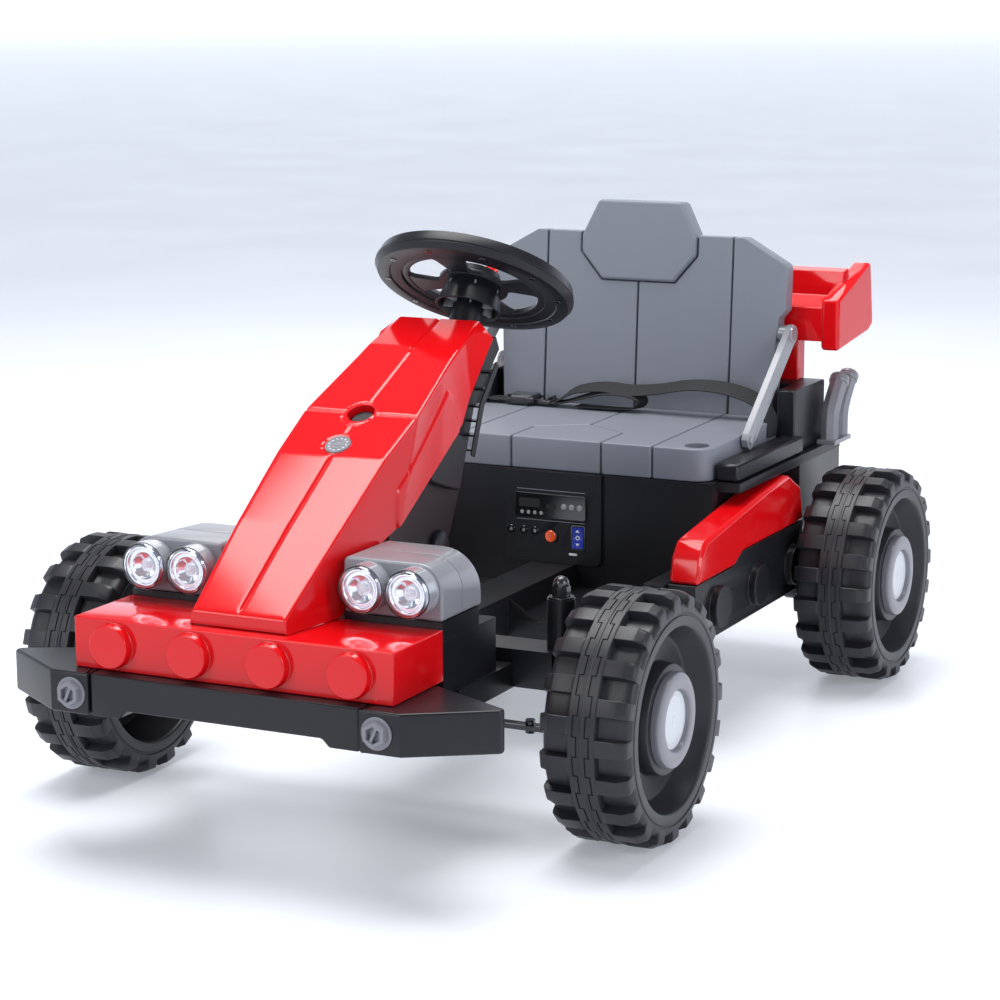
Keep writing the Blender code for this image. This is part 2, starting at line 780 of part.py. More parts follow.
def front_frame():
    """Nose block, lamp bases, cross beam and kingpin posts in one moulding, with the pedal's ears."""
    nose = box("front_frame", (-NOSE_HALF_WIDTH, NOSE_FRONT_Y, BEAM_BOTTOM),
               (NOSE_HALF_WIDTH, NOSE_BACK_Y, NOSE_TOP), BLACK)
    reach = NOSE_HALF_WIDTH + FLANGE_OVERHANG
    flange = box("frame_flange", (-reach, FLANGE_FRONT_Y, BEAM_BOTTOM - 0.0005),
                 (reach, FLANGE_BACK_Y, FLANGE_TOP))
    beam = box("frame_beam", (-KINGPIN_X, BEAM_FRONT_Y, BEAM_BOTTOM), (KINGPIN_X, BEAM_BACK_Y, BEAM_TOP))
    add(nose, flange, beam)
    for side in (-1, 1):
        low, high = sorted((side * POD_INNER_X, side * (NOSE_HALF_WIDTH - 0.0005)))
        base = box("lamp_base", (low, NOSE_FRONT_Y + 0.0005, NOSE_TOP - 0.005),
                   (high, LAMP_BASE_BACK_Y, LAMP_BASE_TOP))
        x = side * KINGPIN_X
        post = rod("post", POST_RADIUS, (x, FRONT_AXLE_Y, BEAM_BOTTOM + 0.0005), (x, FRONT_AXLE_Y, POST_TOP))
        bore = rod("post_bore", KINGPIN_RADIUS + RUN_GAP, (x, FRONT_AXLE_Y, BEAM_BOTTOM - 0.01),
                   (x, FRONT_AXLE_Y, POST_TOP + 0.01))
        add(nose, base, post)
        cut(nose, bore)
        inner = PEDAL_X + side * (PEDAL_WIDTH / 2 + 0.0005)
        low, high = sorted((inner, inner + side * EAR_THICKNESS))
        ear = box("pedal_ear", (low, BEAM_BACK_Y - 0.005, PEDAL_Z - EAR_HALF_HEIGHT),
                  (high, BEAM_BACK_Y + EAR_REACH, PEDAL_Z + EAR_HALF_HEIGHT))
        hole = rod("ear_hole", PEDAL_PIN_RADIUS + RUN_GAP, (inner - 0.01, PEDAL_Y, PEDAL_Z),
                   (inner + 0.01, PEDAL_Y, PEDAL_Z), sides=SMALL_SIDES)
        cut(ear, hole)
        add(nose, ear)


def bumper():
    notch = BUMPER_BOTTOM + BUMPER_NOTCH_HEIGHT
    bar = both_halves([
        (BUMPER_NOTCH_HALF_WIDTH, notch),
        (BUMPER_NOTCH_HALF_WIDTH + BUMPER_NOTCH_HEIGHT, BUMPER_BOTTOM),
        (BUMPER_HALF_WIDTH, BUMPER_BOTTOM),
        (BUMPER_HALF_WIDTH, BEAM_TOP),
    ])
    bevelled(outline("bumper_bar", bar, BUMPER_FRONT_Y, BRICK_BACK_Y, "front", BLACK), 0.002)
    inner = BUMPER_HALF_WIDTH + SEAT_GAP
    wing = rounded([
        (inner, CORNER_FRONT_Y, 0),
        (inner + CORNER_FRONT_LENGTH, CORNER_FRONT_Y, 0.02),
        (CORNER_TIP_X, CORNER_TIP_FRONT_Y, 0.006),
        (CORNER_TIP_X - 0.004, CORNER_TIP_BACK_Y, 0.006),
        (inner + CORNER_BACK_LENGTH + 0.023, CORNER_BACK_Y - 0.012, 0),
        (inner + CORNER_BACK_LENGTH, CORNER_BACK_Y, 0),
        (inner, CORNER_BACK_Y, 0),
    ], 3)
    corner = outline("bumper_corner_left", wing, BUMPER_BOTTOM, BEAM_TOP, "plan", BLACK)
    middle_z = (BUMPER_BOTTOM + BEAM_TOP) / 2
    shank_end = CORNER_FRONT_Y + BUMPER_BOLT_REACH
    hole = rod("corner_bolt_hole", BUMPER_BOLT_SHANK + RUN_GAP,
               (BUMPER_BOLT_X, CORNER_FRONT_Y - 0.01, middle_z), (BUMPER_BOLT_X, shank_end + 0.005, middle_z))
    cut(bevelled(corner, 0.002), hole)
    mirrored(corner, "bumper_corner_right")
    head_back = CORNER_FRONT_Y - SEAT_GAP
    bolt = rod("bumper_bolt_left", BUMPER_BOLT_RADIUS, (BUMPER_BOLT_X, head_back, middle_z),
               (BUMPER_BOLT_X, BOLT_FRONT_Y, middle_z), SILVER, sides=6)
    shank = rod("bolt_shank", BUMPER_BOLT_SHANK, (BUMPER_BOLT_X, head_back - 0.002, middle_z),
                (BUMPER_BOLT_X, shank_end, middle_z), sides=SMALL_SIDES)
    add(bevelled(bolt, 0.0012), shank)
    mirrored(bolt, "bumper_bolt_right")


def front_brick():
    brick = box("front_brick", (-BRICK_HALF_WIDTH, BRICK_FRONT_Y, BRICK_BOTTOM),
                (BRICK_HALF_WIDTH, BRICK_BACK_Y, BRICK_TOP), RED)
    bevelled(brick, 0.003)
    middle_z = (BRICK_BOTTOM + BRICK_TOP) / 2
    for index in range(BRICK_STUDS):
        x = (index - (BRICK_STUDS - 1) / 2) * BRICK_STUD_PITCH
        stud = rod("brick_stud", BRICK_STUD_RADIUS, (x, BRICK_FRONT_Y + 0.005, middle_z),
                   (x, BRICK_FRONT_Y - BRICK_STUD_HEIGHT, middle_z), sides=LARGE_SIDES)
        add(brick, stud)


def lamps():
    """Each side's pod with its two lenses, seated in round pockets."""
    bottom = LAMP_BASE_TOP + SEAT_GAP
    shape = rounded([
        (POD_INNER_X, bottom, 0),
        (NOSE_HALF_WIDTH, bottom, 0),
        (NOSE_HALF_WIDTH, POD_TOP, POD_CORNER_RADIUS),
        (POD_INNER_X, POD_TOP, 0),
    ], 6)
    pod = bevelled(outline("lamp_pod_left", shape, NOSE_FRONT_Y, POD_BACK_Y, "front", SILVER), 0.003)
    seat_y = NOSE_FRONT_Y + LENS_SEAT_DEPTH
    for index, x in enumerate((LENS_INNER_X, LENS_OUTER_X)):
        pocket = rod("lens_pocket", LENS_RADIUS + SEAT_GAP * 2, (x, NOSE_FRONT_Y - 0.01, LENS_Z),
                     (x, seat_y, LENS_Z), sides=LARGE_SIDES)
        cut(pod, pocket)
        depth = LENS_PROUD + LENS_SEAT_DEPTH - SEAT_GAP
        profile = [(0, depth), (LENS_RADIUS - 0.005, depth - 0.002), (LENS_RADIUS, depth - 0.007),
                   (LENS_RADIUS, 0), (0, 0)]
        place = ("inner", "outer")[index]
        lens = turned("lens_left_" + place, profile, LARGE_SIDES, CLEAR)
        lens.location = (x, seat_y - SEAT_GAP, LENS_Z)
        lens.rotation_euler = (pi / 2, 0, 0)
        mirrored(lens, "lens_right_" + place)
    mirrored(pod, "lamp_pod_right")


# Floor pan and seat box

def floor_pan():
    """Central beam, forked round the steering shaft, with foot plates, ribs and side sills."""
    back = BOX_FRONT_Y - SEAT_GAP
    beam = box("floor_pan", (-TUNNEL_HALF_WIDTH, BEAM_BACK_Y + SEAT_GAP, TUNNEL_BOTTOM),
               (TUNNEL_HALF_WIDTH, back, TUNNEL_TOP), BLACK)
    width = BOX_HALF_WIDTH
    plate = box("floor_plate", (-width, FLOOR_FRONT_Y, FLOOR_BOTTOM), (width, back - 0.0005, FLOOR_TOP))
    add(beam, plate)
    for side in (-1, 1):
        low, high = sorted((side * SILL_INNER_X, side * (BOX_HALF_WIDTH - 0.0005)))
        sill = box("sill", (low, SILL_FRONT_Y, FLOOR_BOTTOM + 0.001), (high, back - 0.001, SILL_TOP))
        base = side * (TUNNEL_HALF_WIDTH - 0.003)
        tip = side * (TUNNEL_HALF_WIDTH + RIB_REACH)
        shape = [
            (base, FLOOR_TOP - 0.003),
            (tip, FLOOR_TOP - 0.003),
            (tip, FLOOR_TOP + 0.001),
            (base, TUNNEL_TOP - 0.001),
        ]
        rib = outline("rib", shape, FLOOR_FRONT_Y + 0.001, FLOOR_FRONT_Y + RIB_THICKNESS, "front")
        add(beam, sill, rib)
    slot_end = TIE_Y + SHAFT_SLOT_ROOM
    slot = box("shaft_slot", (-TUNNEL_SLOT_HALF_WIDTH, BEAM_BACK_Y - 0.01, TUNNEL_BOTTOM - 0.01),
               (TUNNEL_SLOT_HALF_WIDTH, slot_end, TUNNEL_TOP + 0.01))
    cut(beam, slot)


def seat_box():
    """The body under the seat: battery bay open at the top, side ledges and the rear axle's bore."""
    side = [
        (BOX_FRONT_Y, BOX_BOTTOM),
        (BOX_STEP_Y, BOX_BOTTOM),
        (BOX_STEP_Y + 0.015, BOX_BOTTOM + BOX_STEP_RISE),
        (BOX_BACK_Y, BOX_BOTTOM + BOX_STEP_RISE),
        (BOX_BACK_Y, BOX_TOP),
        (BOX_FRONT_Y, BOX_TOP),
    ]
    body = outline("seat_box", side, -BOX_HALF_WIDTH, BOX_HALF_WIDTH, "side", BLACK)
    ledge = box("seat_ledge", (-LEDGE_HALF_WIDTH, LEDGE_FRONT_Y, BOX_TOP - LEDGE_THICKNESS),
                (LEDGE_HALF_WIDTH, BOX_BACK_Y - 0.0005, BOX_TOP - 0.0001))
    rear = box("rear_sides", (-LEDGE_HALF_WIDTH + 0.0005, REAR_SIDE_FRONT_Y, REAR_SIDE_BOTTOM),
               (LEDGE_HALF_WIDTH - 0.0005, BOX_BACK_Y - 0.001, BOX_TOP - 0.005))
    bay = box("battery_bay", (-BAY_HALF_WIDTH, BAY_FRONT_Y, BAY_FLOOR),
              (BAY_HALF_WIDTH, BAY_BACK_Y, BOX_TOP + 0.01))
    bore = rod("axle_bore", AXLE_RADIUS + RUN_GAP, (-BOX_HALF_WIDTH - 0.05, REAR_AXLE_Y, AXLE_Z),
               (BOX_HALF_WIDTH + 0.05, REAR_AXLE_Y, AXLE_Z))
    cut(add(body, ledge, rear), bay, bore)


def battery_and_controls():
    """The two boxes that stand side by side on the battery bay's floor."""
    floor = BAY_FLOOR + SEAT_GAP
    for name, size, x in (
            ("battery", BATTERY_SIZE, BATTERY_X),
            ("control_box", CONTROL_BOX_SIZE, CONTROL_BOX_X)):
        low = (x - size[0] / 2, BATTERY_Y - size[1] / 2, floor)
        high = (x + size[0] / 2, BATTERY_Y + size[1] / 2, floor + size[2])
        bevelled(box(name, low, high, BLACK), 0.002)


# Side panels and skirts

def side_panels():
    """The red panel over the black skirt, which meet along a stepped line, and the skirt's studs."""
    panel = PANEL_EDGE + [
        (PANEL_STEP_START_Y, PANEL_STEP_LOW),
        (PANEL_STEP_END_Y, PANEL_STEP_HIGH),
    ]
    red = outline("side_panel_left", panel, PANEL_INNER_X, PANEL_OUTER_X, "side", RED)
    mirrored(bevelled(red, PANEL_CHAMFER), "side_panel_right")
    skirt = [
        (SKIRT_FRONT_Y, SKIRT_BOTTOM),
        (SKIRT_BACK_Y, SKIRT_BOTTOM),
        (SKIRT_BACK_Y, PANEL_STEP_HIGH - SEAT_GAP),
        (PANEL_STEP_END_Y, PANEL_STEP_HIGH - SEAT_GAP),
        (PANEL_STEP_START_Y, PANEL_STEP_LOW - SEAT_GAP),
        (SKIRT_FRONT_Y, PANEL_STEP_LOW - SEAT_GAP),
    ]
    black = outline("skirt_left", skirt, PANEL_INNER_X, SKIRT_OUTER_X, "side", BLACK)
    for index in range(SKIRT_STUDS):
        y = SKIRT_STUD_FIRST_Y + index * SKIRT_STUD_PITCH
        add(black, rod("skirt_stud", SKIRT_STUD_RADIUS, (SKIRT_OUTER_X - 0.005, y, SKIRT_STUD_Z),
                       (SKIRT_OUTER_X + SKIRT_STUD_HEIGHT, y, SKIRT_STUD_Z), sides=LARGE_SIDES))
    mirrored(black, "skirt_right")


# Seat

def seat_corner(side):
    """What the seat base loses at one front corner, drawn in plan."""
    edge = side * SEAT_HALF_WIDTH
    inset = side * (SEAT_HALF_WIDTH - SEAT_CORNER_RADIUS)
    past = edge + side * 0.01
    centre = (inset, SEAT_FRONT_Y + SEAT_CORNER_RADIUS)
    start = 0 if side > 0 else pi
    shape = [(inset, SEAT_FRONT_Y - 0.01), (past, SEAT_FRONT_Y - 0.01), (past, centre[1])]
    shape += arc(SEAT_CORNER_RADIUS, start, start - side * pi / 2, 5, centre)
    return outline("seat_corner", shape, SEAT_BOTTOM - 0.01, SEAT_TOP_BACK + 0.01, "plan")


def seat_base():
    """The cushion-shaped moulding: sloped top, rounded front corners and the shallow cup hole."""
    side = [
        (SEAT_FRONT_Y, SEAT_BOTTOM),
        (SEAT_BACK_Y, SEAT_BOTTOM),
        (SEAT_BACK_Y, SEAT_TOP_BACK),
        (SEAT_FRONT_Y, SEAT_TOP_FRONT),
    ]
    base = outline("seat_base", side, -SEAT_HALF_WIDTH, SEAT_HALF_WIDTH, "side", GREY)
    cut(base, seat_corner(-1), seat_corner(1))
    bevelled(base, 0.005, 2)
    hole_floor = SEAT_TOP_FRONT - SEAT_HOLE_DEPTH
    cut(base, rod("seat_hole", SEAT_HOLE_RADIUS, (SEAT_HOLE_X, SEAT_HOLE_Y, hole_floor),
                  (SEAT_HOLE_X, SEAT_HOLE_Y, SEAT_TOP_BACK + 0.01)))


def seat_back():
    """The leaning back board with its eight-sided headrest, drawn upright and then leaned."""
    foot_y = SEAT_BACK_Y + SEAT_GAP * 2
    foot_z = SEAT_BOTTOM + BACK_BOTTOM_LIFT
    lean = new_empty("seat_back_foot", (0, foot_y, foot_z), ROOT, (-BACK_LEAN, 0, 0))

    def half(x, z):
        return (x, (z - foot_z) / cos(BACK_LEAN))

    board = both_halves([
        half(BACK_BOTTOM_HALF_WIDTH, foot_z),
        half(BACK_WAIST_HALF_WIDTH, BACK_WAIST_Z),
        half(BACK_SHOULDER_HALF_WIDTH, BACK_SHOULDER_LOW_Z),
        half(BACK_SHOULDER_HALF_WIDTH, BACK_SHOULDER_HIGH_Z),
        half(BACK_TOP_HALF_WIDTH, BACK_TOP_Z),
    ])
    head = both_halves([
        half(HEADREST_BOTTOM_HALF_WIDTH, HEADREST_BOTTOM_Z),
        half(HEADREST_HALF_WIDTH, HEADREST_LOW_Z),
        half(HEADREST_HALF_WIDTH, HEADREST_HIGH_Z),
        half(HEADREST_TOP_HALF_WIDTH, HEADREST_TOP_Z),
    ])
    back = outline("seat_back", board, 0, BACK_THICKNESS, "front", GREY, lean)
    headrest = outline("headrest", head, -HEADREST_PROUD, BACK_THICKNESS - 0.002, "front", None, lean)
    bevelled(back, 0.003)
    add(back, bevelled(headrest, 0.003))


def back_half_width(z):
    """Half the width of the seat back's board at a height below its waist."""
    share = (z - SEAT_BOTTOM - BACK_BOTTOM_LIFT) / (BACK_WAIST_Z - SEAT_BOTTOM - BACK_BOTTOM_LIFT)
    return BACK_BOTTOM_HALF_WIDTH + (BACK_WAIST_HALF_WIDTH - BACK_BOTTOM_HALF_WIDTH) * share


def struts():
    """Flat braces from the seat base's side to the back board, each with its two pins."""
    low = Vector(STRUT_LOW)
    high = Vector(STRUT_HIGH)
    along = (high - low).normalized()
    angle = Vector((1, 0)).angle(along)
    shape = arc(STRUT_HALF_WIDTH, angle + pi / 2, angle + 3 * pi / 2, 4, low)
    shape += arc(STRUT_HALF_WIDTH, angle - pi / 2, angle + pi / 2, 4, high)
    outer = STRUT_INNER_X + STRUT_THICKNESS
    strut = outline("strut_left", shape, STRUT_INNER_X, outer, "side", SILVER)
    low_end = SEAT_HALF_WIDTH + SEAT_GAP
    high_end = back_half_width(STRUT_HIGH[1] + STRUT_HIGH_PIN_RADIUS) + SEAT_GAP
    pin_face = outer + STRUT_PIN_PROUD
    low_pin = rod("strut_low_pin", STRUT_LOW_PIN_RADIUS, (low_end, *STRUT_LOW), (pin_face, *STRUT_LOW),
                  sides=SMALL_SIDES)
    high_pin = rod("strut_high_pin", STRUT_HIGH_PIN_RADIUS, (high_end, *STRUT_HIGH), (pin_face, *STRUT_HIGH))
    add(strut, low_pin, high_pin)
    mirrored(strut, "strut_right")


def strap(name, start_x, end_x, base_z, rise, finish, foot_z=None):
    """A flat strap along X that rises in one arch between its two ends. With foot_z, it turns down at its end."""
    steps = 14
    arched = STRAP_FOOT_SHARE if foot_z else 1.0
    lower = []
    for step in range(steps + 1):
        share = step / steps
        lower.append((start_x + (end_x - start_x) * share, base_z + rise * sin(pi * arched * share) ** 0.6))
    upper = [(x, z + STRAP_THICKNESS) for x, z in reversed(lower)]
    if foot_z:
        outer_x = end_x + STRAP_THICKNESS
        upper = [(end_x, foot_z), (outer_x, foot_z), (outer_x, upper[0][1])] + upper[1:]
    return outline(name, lower + upper, STRAP_FRONT_Y, STRAP_FRONT_Y + STRAP_WIDTH, "front", finish)


def belt():
    base_z = SEAT_TOP_BACK + SEAT_GAP
    buckle_left = BUCKLE_RIGHT_X + BUCKLE_WIDTH
    strap("belt_strap_right", -STRAP_REACH, BUCKLE_RIGHT_X - SEAT_GAP, base_z, 0.003, WEBBING)
    strap("belt_strap_left", buckle_left + SEAT_GAP, STRAP_FOOT_X, base_z, STRAP_ARC_HEIGHT, WEBBING,
          SIDE_BAR_TOP + SEAT_GAP)
    middle = STRAP_FRONT_Y + STRAP_WIDTH / 2
    bevelled(box("belt_buckle", (BUCKLE_RIGHT_X, middle - BUCKLE_DEPTH / 2, base_z),
                 (buckle_left, middle + BUCKLE_DEPTH / 2, base_z + BUCKLE_HEIGHT), BLACK), 0.003)


# Rear box, spoiler and exhausts

def rear_box():
    """The low box behind the seat, recessed for the back board, with a bar along each side."""
    plan = both_halves([
        (REAR_BOX_RECESS_HALF_WIDTH, REAR_BOX_RECESS_Y),
        (REAR_BOX_RECESS_HALF_WIDTH, REAR_BOX_FRONT_Y),
        (REAR_BOX_HALF_WIDTH, REAR_BOX_FRONT_Y),
        (REAR_BOX_HALF_WIDTH, REAR_BOX_BACK_Y),
    ])
    rear = outline("rear_box", plan, SEAT_BOTTOM, REAR_BOX_TOP, "plan", BLACK)
    bevelled(rear, 0.002)
    for side in (-1, 1):
        low, high = sorted((side * SIDE_BAR_INNER_X, side * SIDE_BAR_OUTER_X))
        bar = box("side_bar", (low, LEDGE_FRONT_Y + 0.002, SEAT_BOTTOM + 0.0002),
                  (high, REAR_BOX_FRONT_Y + 0.012, SIDE_BAR_TOP))
        add(rear, bevelled(bar, 0.003))


def spoiler():
    """The wing between two end plates, on two posts that stand on the rear box."""
    inner = END_PLATE_INNER_X
    wing = outline("spoiler", WING_EDGE, -inner - 0.01, inner + 0.01, "side", RED)
    for side in (-1, 1):
        low, high = sorted((side * inner, side * END_PLATE_OUTER_X))
        end = outline("end_plate", END_PLATE_EDGE, low, high, "side")
        low, high = sorted((side * SPOILER_POST_INNER_X, side * SPOILER_POST_OUTER_X))
        post = box("spoiler_post", (low, REAR_BOX_BACK_Y - SPOILER_POST_DEPTH, REAR_BOX_TOP + SEAT_GAP),
                   (high, REAR_BOX_BACK_Y - 0.002, SPOILER_POST_TOP))
        add(wing, bevelled(end, 0.003), post)


def exhausts():
    """Two bent pipes with closed ends on one flange, beside the rear box."""
    base = BOX_TOP + SEAT_GAP
    flange = box("exhaust_left", (REAR_BOX_HALF_WIDTH + 0.0015, EXHAUST_FIRST_Y - 0.015, base),
                 (EXHAUST_X + EXHAUST_RADIUS + 0.001, BOX_BACK_Y - 0.002, base + EXHAUST_FLANGE), SILVER)
    for index in range(2):
        y = EXHAUST_FIRST_Y + index * EXHAUST_PITCH
        bend = Vector((EXHAUST_X, y, EXHAUST_BEND_Z))
        end = Vector((EXHAUST_X, y + EXHAUST_SHIFT, EXHAUST_TOP))
        ahead = bend + (end - bend) * 0.3
        route = [Vector((EXHAUST_X, y, base + 0.003)), bend - Vector((0, 0, 0.012))]
        route += [(bend - Vector((0, 0, 0.004))).lerp(ahead, 0.22), ahead, end]
        add(flange, pipe("exhaust_pipe", route, EXHAUST_RADIUS))
    mirrored(flange, "exhaust_right")


# Hood and column

def hood_line(y):
    """Height of the hood's ridge line and its slope at a place along the kart."""
    for (start, _), (end, _) in zip(HOOD_ROWS, HOOD_ROWS[1:]):
        if start[0] <= y <= end[0]:
            slope = (end[1] - start[1]) / (end[0] - start[0])
            return start[1] + slope * (y - start[0]), slope
    return HOOD_ROWS[-1][0][1], 0.0


def hood_normal(y):
    slope = hood_line(y)[1]
    return Vector((0, -slope, 1)).normalized()


def hood():
    """The folded red shell: a ridge plate and two side walls that meet unlike edges, given a wall."""
    points = []
    for ridge, edge in HOOD_ROWS:
        points.append((-edge[2], edge[0], edge[1]))
        points.append((-ridge[2], ridge[0], ridge[1]))
        points.append((ridge[2], ridge[0], ridge[1]))
        points.append((edge[2], edge[0], edge[1]))
    faces = []
    for row in range(len(HOOD_ROWS) - 1):
        for column in range(3):
            start = row * 4 + column
            faces.append((start, start + 1, start + 5, start + 4))
    faces.append((0, 3, 2, 1))
    mesh = bpy.data.meshes.new("hood")
    mesh.from_pydata(points, [], faces)
    shape = bmesh.new()
    shape.from_mesh(mesh)
    bmesh.ops.recalc_face_normals(shape, faces=shape.faces)
    up = max(shape.faces, key=lambda face: face.calc_center_median().z)
    if up.normal.z < 0:
        bmesh.ops.reverse_faces(shape, faces=shape.faces)
    shape.to_mesh(mesh)
    shape.free()
    shell = new_object("hood", mesh, RED, ROOT)
    wall = shell.modifiers.new("wall", "SOLIDIFY")
    wall.thickness = HOOD_WALL
    wall.offset = -1.0
    wall.use_even_offset = True
    place = Vector((0, HOOD_HOLE_Y, hood_line(HOOD_HOLE_Y)[0]))
    normal = hood_normal(HOOD_HOLE_Y)
    cut(shell, rod("hood_hole", HOOD_HOLE_RADIUS, place - normal * 0.012, place + normal * 0.02))


def hood_fittings():
    """The ringed badge on the ridge, and the bolt that sits down in the hood's hole."""
    normal = hood_normal(HOOD_BADGE_Y)
    place = Vector((0, HOOD_BADGE_Y, hood_line(HOOD_BADGE_Y)[0])) + normal * SEAT_GAP
    rod("hood_badge", HOOD_BADGE_RADIUS, place, place + normal * HOOD_BADGE_THICKNESS, SILVER,
        sides=LARGE_SIDES)
    normal = hood_normal(HOOD_HOLE_Y)
    seat = Vector((0, HOOD_HOLE_Y, hood_line(HOOD_HOLE_Y)[0])) - normal * (HOOD_WALL + HOOD_BOLT_DEPTH)
    rod("hood_bolt", HOOD_BOLT_RADIUS, seat + normal * SEAT_GAP, seat + normal * HOOD_BOLT_HEAD, SILVER,
        sides=6)
    return seat, normal


def column_support(bolt_seat, bolt_normal):
    """The moulding that carries the steering shaft, with the boss under the hood's bolt."""
    column = outline("column_support", COLUMN_EDGE, -COLUMN_HALF_WIDTH, COLUMN_HALF_WIDTH, "side", BLACK)
    tube_top = STEER_CENTRE + STEER_DOWN * COLUMN_TUBE_START
    tube_foot = STEER_CENTRE + STEER_DOWN * COLUMN_TUBE_END
    tube = rod("column_tube", COLUMN_TUBE_RADIUS, tube_foot, tube_top)
    boss_foot = bolt_seat - bolt_normal * BOLT_BOSS_LENGTH
    boss = rod("bolt_boss", BOLT_BOSS_RADIUS, boss_foot, bolt_seat)
    bore_foot = STEER_CENTRE + STEER_DOWN * CRANK_DISTANCE
    bore = rod("shaft_bore", SHAFT_RADIUS + RUN_GAP, bore_foot, STEER_CENTRE)
    cut(add(column, tube, boss), bore)


# Steering

def steering_wheel(pivot):
    """Rim, plate with four hand openings, hub and the flared collar below it, on the tilted axis."""
    top = STEER_RIM_ABOVE
    low = -STEER_RIM_BELOW
    outer = STEER_RIM_RADIUS
    inner = outer - STEER_RIM_WIDTH
    rim = [
        (outer - 0.015, top),
        (outer - 0.004, top - 0.002),
        (outer, 0),
        (outer - 0.005, low),
        (inner, low),
        (inner, 0.002),
        (inner + 0.008, top - 0.003),
    ]
    wheel_rim = turned("steering_wheel", rim, STEER_SIDES, BLACK, pivot, ring=True)
    half = STEER_PLATE_THICKNESS / 2
    plate = rod("wheel_plate", inner + 0.003, (0, 0, -half - 0.001), (0, 0, half - 0.003), None, pivot,
                sides=STEER_SIDES, turn=0.0)
    for quarter in range(4):
        middle = pi / 4 + quarter * pi / 2
        spread = STEER_OPENING_ANGLE
        kidney = arc(STEER_OPENING_OUTER, middle - spread, middle + spread, 6)
        kidney += arc(STEER_OPENING_INNER, middle + spread * 0.7, middle - spread * 0.7, 4)
        cut(plate, outline("hand_opening", kidney, -0.02, 0.02, "plan", None, pivot))
    collar_end = -STEER_COLLAR_DEPTH
    hub_under = -half - 0.0035
    hub = [
        (0, 0.014),
        (STEER_HUB_RADIUS - 0.004, 0.014),
        (STEER_HUB_RADIUS, 0.009),
        (STEER_HUB_RADIUS, hub_under),
        (STEER_COLLAR_RADIUS, collar_end),
        (STEER_COLLAR_RADIUS - 0.003, collar_end),
        (STEER_HUB_RADIUS - 0.003, hub_under),
        (0, hub_under),
    ]
    add(wheel_rim, plate, turned("wheel_hub", hub, LARGE_SIDES, None, pivot))
    return hub_under


def steering_shaft(pivot, hub_under):
    """The shaft with its crank and crank pin, which turns with the wheel."""
    crank_z = -CRANK_DISTANCE + CRANK_RISE
    half = CRANK_THICKNESS / 2
    shaft_top = hub_under - SEAT_GAP
    shaft = rod("steering_shaft", SHAFT_RADIUS, (0, 0, crank_z), (0, 0, shaft_top), STEEL, pivot)
    shape = arc(CRANK_HALF_WIDTH + 0.002, pi, 2 * pi, 6)
    shape += arc(CRANK_HALF_WIDTH, 0, pi, 6, (0, CRANK_LENGTH))
    crank = outline("crank", shape, crank_z - half, crank_z + half, "plan", None, pivot)
    pin_low = -CRANK_DISTANCE - TIE_THICKNESS - PIN_PROUD
    pin = rod("crank_pin", CRANK_PIN_RADIUS, (0, CRANK_LENGTH, pin_low), (0, CRANK_LENGTH, crank_z), None,
              pivot, sides=SMALL_SIDES)
    add(shaft, crank, pin)


def knuckle(pivot):
    """Barrel, kingpin, stub axle and steering arm of the +X side, with the nut on the kingpin."""
    arm_bottom = TIE_TOP + SEAT_GAP - AXLE_Z
    arm_top = arm_bottom + ARM_THICKNESS
    top = BEAM_BOTTOM - SEAT_GAP * 2 - AXLE_Z
    arm_y = TIE_Y - FRONT_AXLE_Y
    barrel = rod("knuckle_left", POST_RADIUS, (0, 0, arm_bottom + 0.0005), (0, 0, top), STEEL, pivot)
    kingpin = rod("kingpin", KINGPIN_RADIUS, (0, 0, 0), (0, 0, POST_TOP - AXLE_Z), None, pivot)
    wheel_x = FRONT_WHEEL_X - KINGPIN_X
    axle_end = wheel_x + WHEEL_WIDTH / 2 - AXLE_INSET
    boss_end = wheel_x - WHEEL_WIDTH / 2 + BOSS_RECESS - RUN_GAP
    shoulder = rod("axle_shoulder", AXLE_RADIUS + AXLE_SHOULDER, (0, 0, 0), (boss_end, 0, 0), None, pivot)
    axle = rod("stub_axle", AXLE_RADIUS, (0, 0, 0), (axle_end, 0, 0), None, pivot)
    shape = arc(POST_RADIUS - 0.001, pi, 2 * pi, 6) + arc(ARM_HALF_WIDTH, 0, pi, 6, (0, arm_y))
    arm = outline("steering_arm", shape, arm_bottom, arm_top, "plan", None, pivot)
    pin_low = arm_bottom - TIE_THICKNESS - PIN_PROUD
    pin = rod("arm_pin", ARM_PIN_RADIUS, (0, arm_y, pin_low), (0, arm_y, arm_top - 0.002), None, pivot,
              sides=SMALL_SIDES)
    add(barrel, kingpin, shoulder, axle, arm, pin)
    return barrel


def kingpin_nut(pivot):
    """Washer and domed nut of the +X side, which stand on the kingpin post."""
    base = POST_TOP - AXLE_Z + SEAT_GAP
    hex_base = base + WASHER_THICKNESS
    hex_top = hex_base + NUT_HEIGHT
    nut = rod("kingpin_nut_left", WASHER_RADIUS, (0, 0, base), (0, 0, hex_base), STEEL, pivot)
    body = rod("nut_hex", NUT_RADIUS, (0, 0, hex_base - 0.0005), (0, 0, hex_top), None, pivot, sides=6)
    dome = rod("nut_dome", NUT_RADIUS * 0.84, (0, 0, hex_top - 0.001), (0, 0, hex_top + NUT_DOME), None,
               pivot, sides=SMALL_SIDES, end_radius=NUT_RADIUS * 0.45)
    add(nut, body, dome)
    return nut


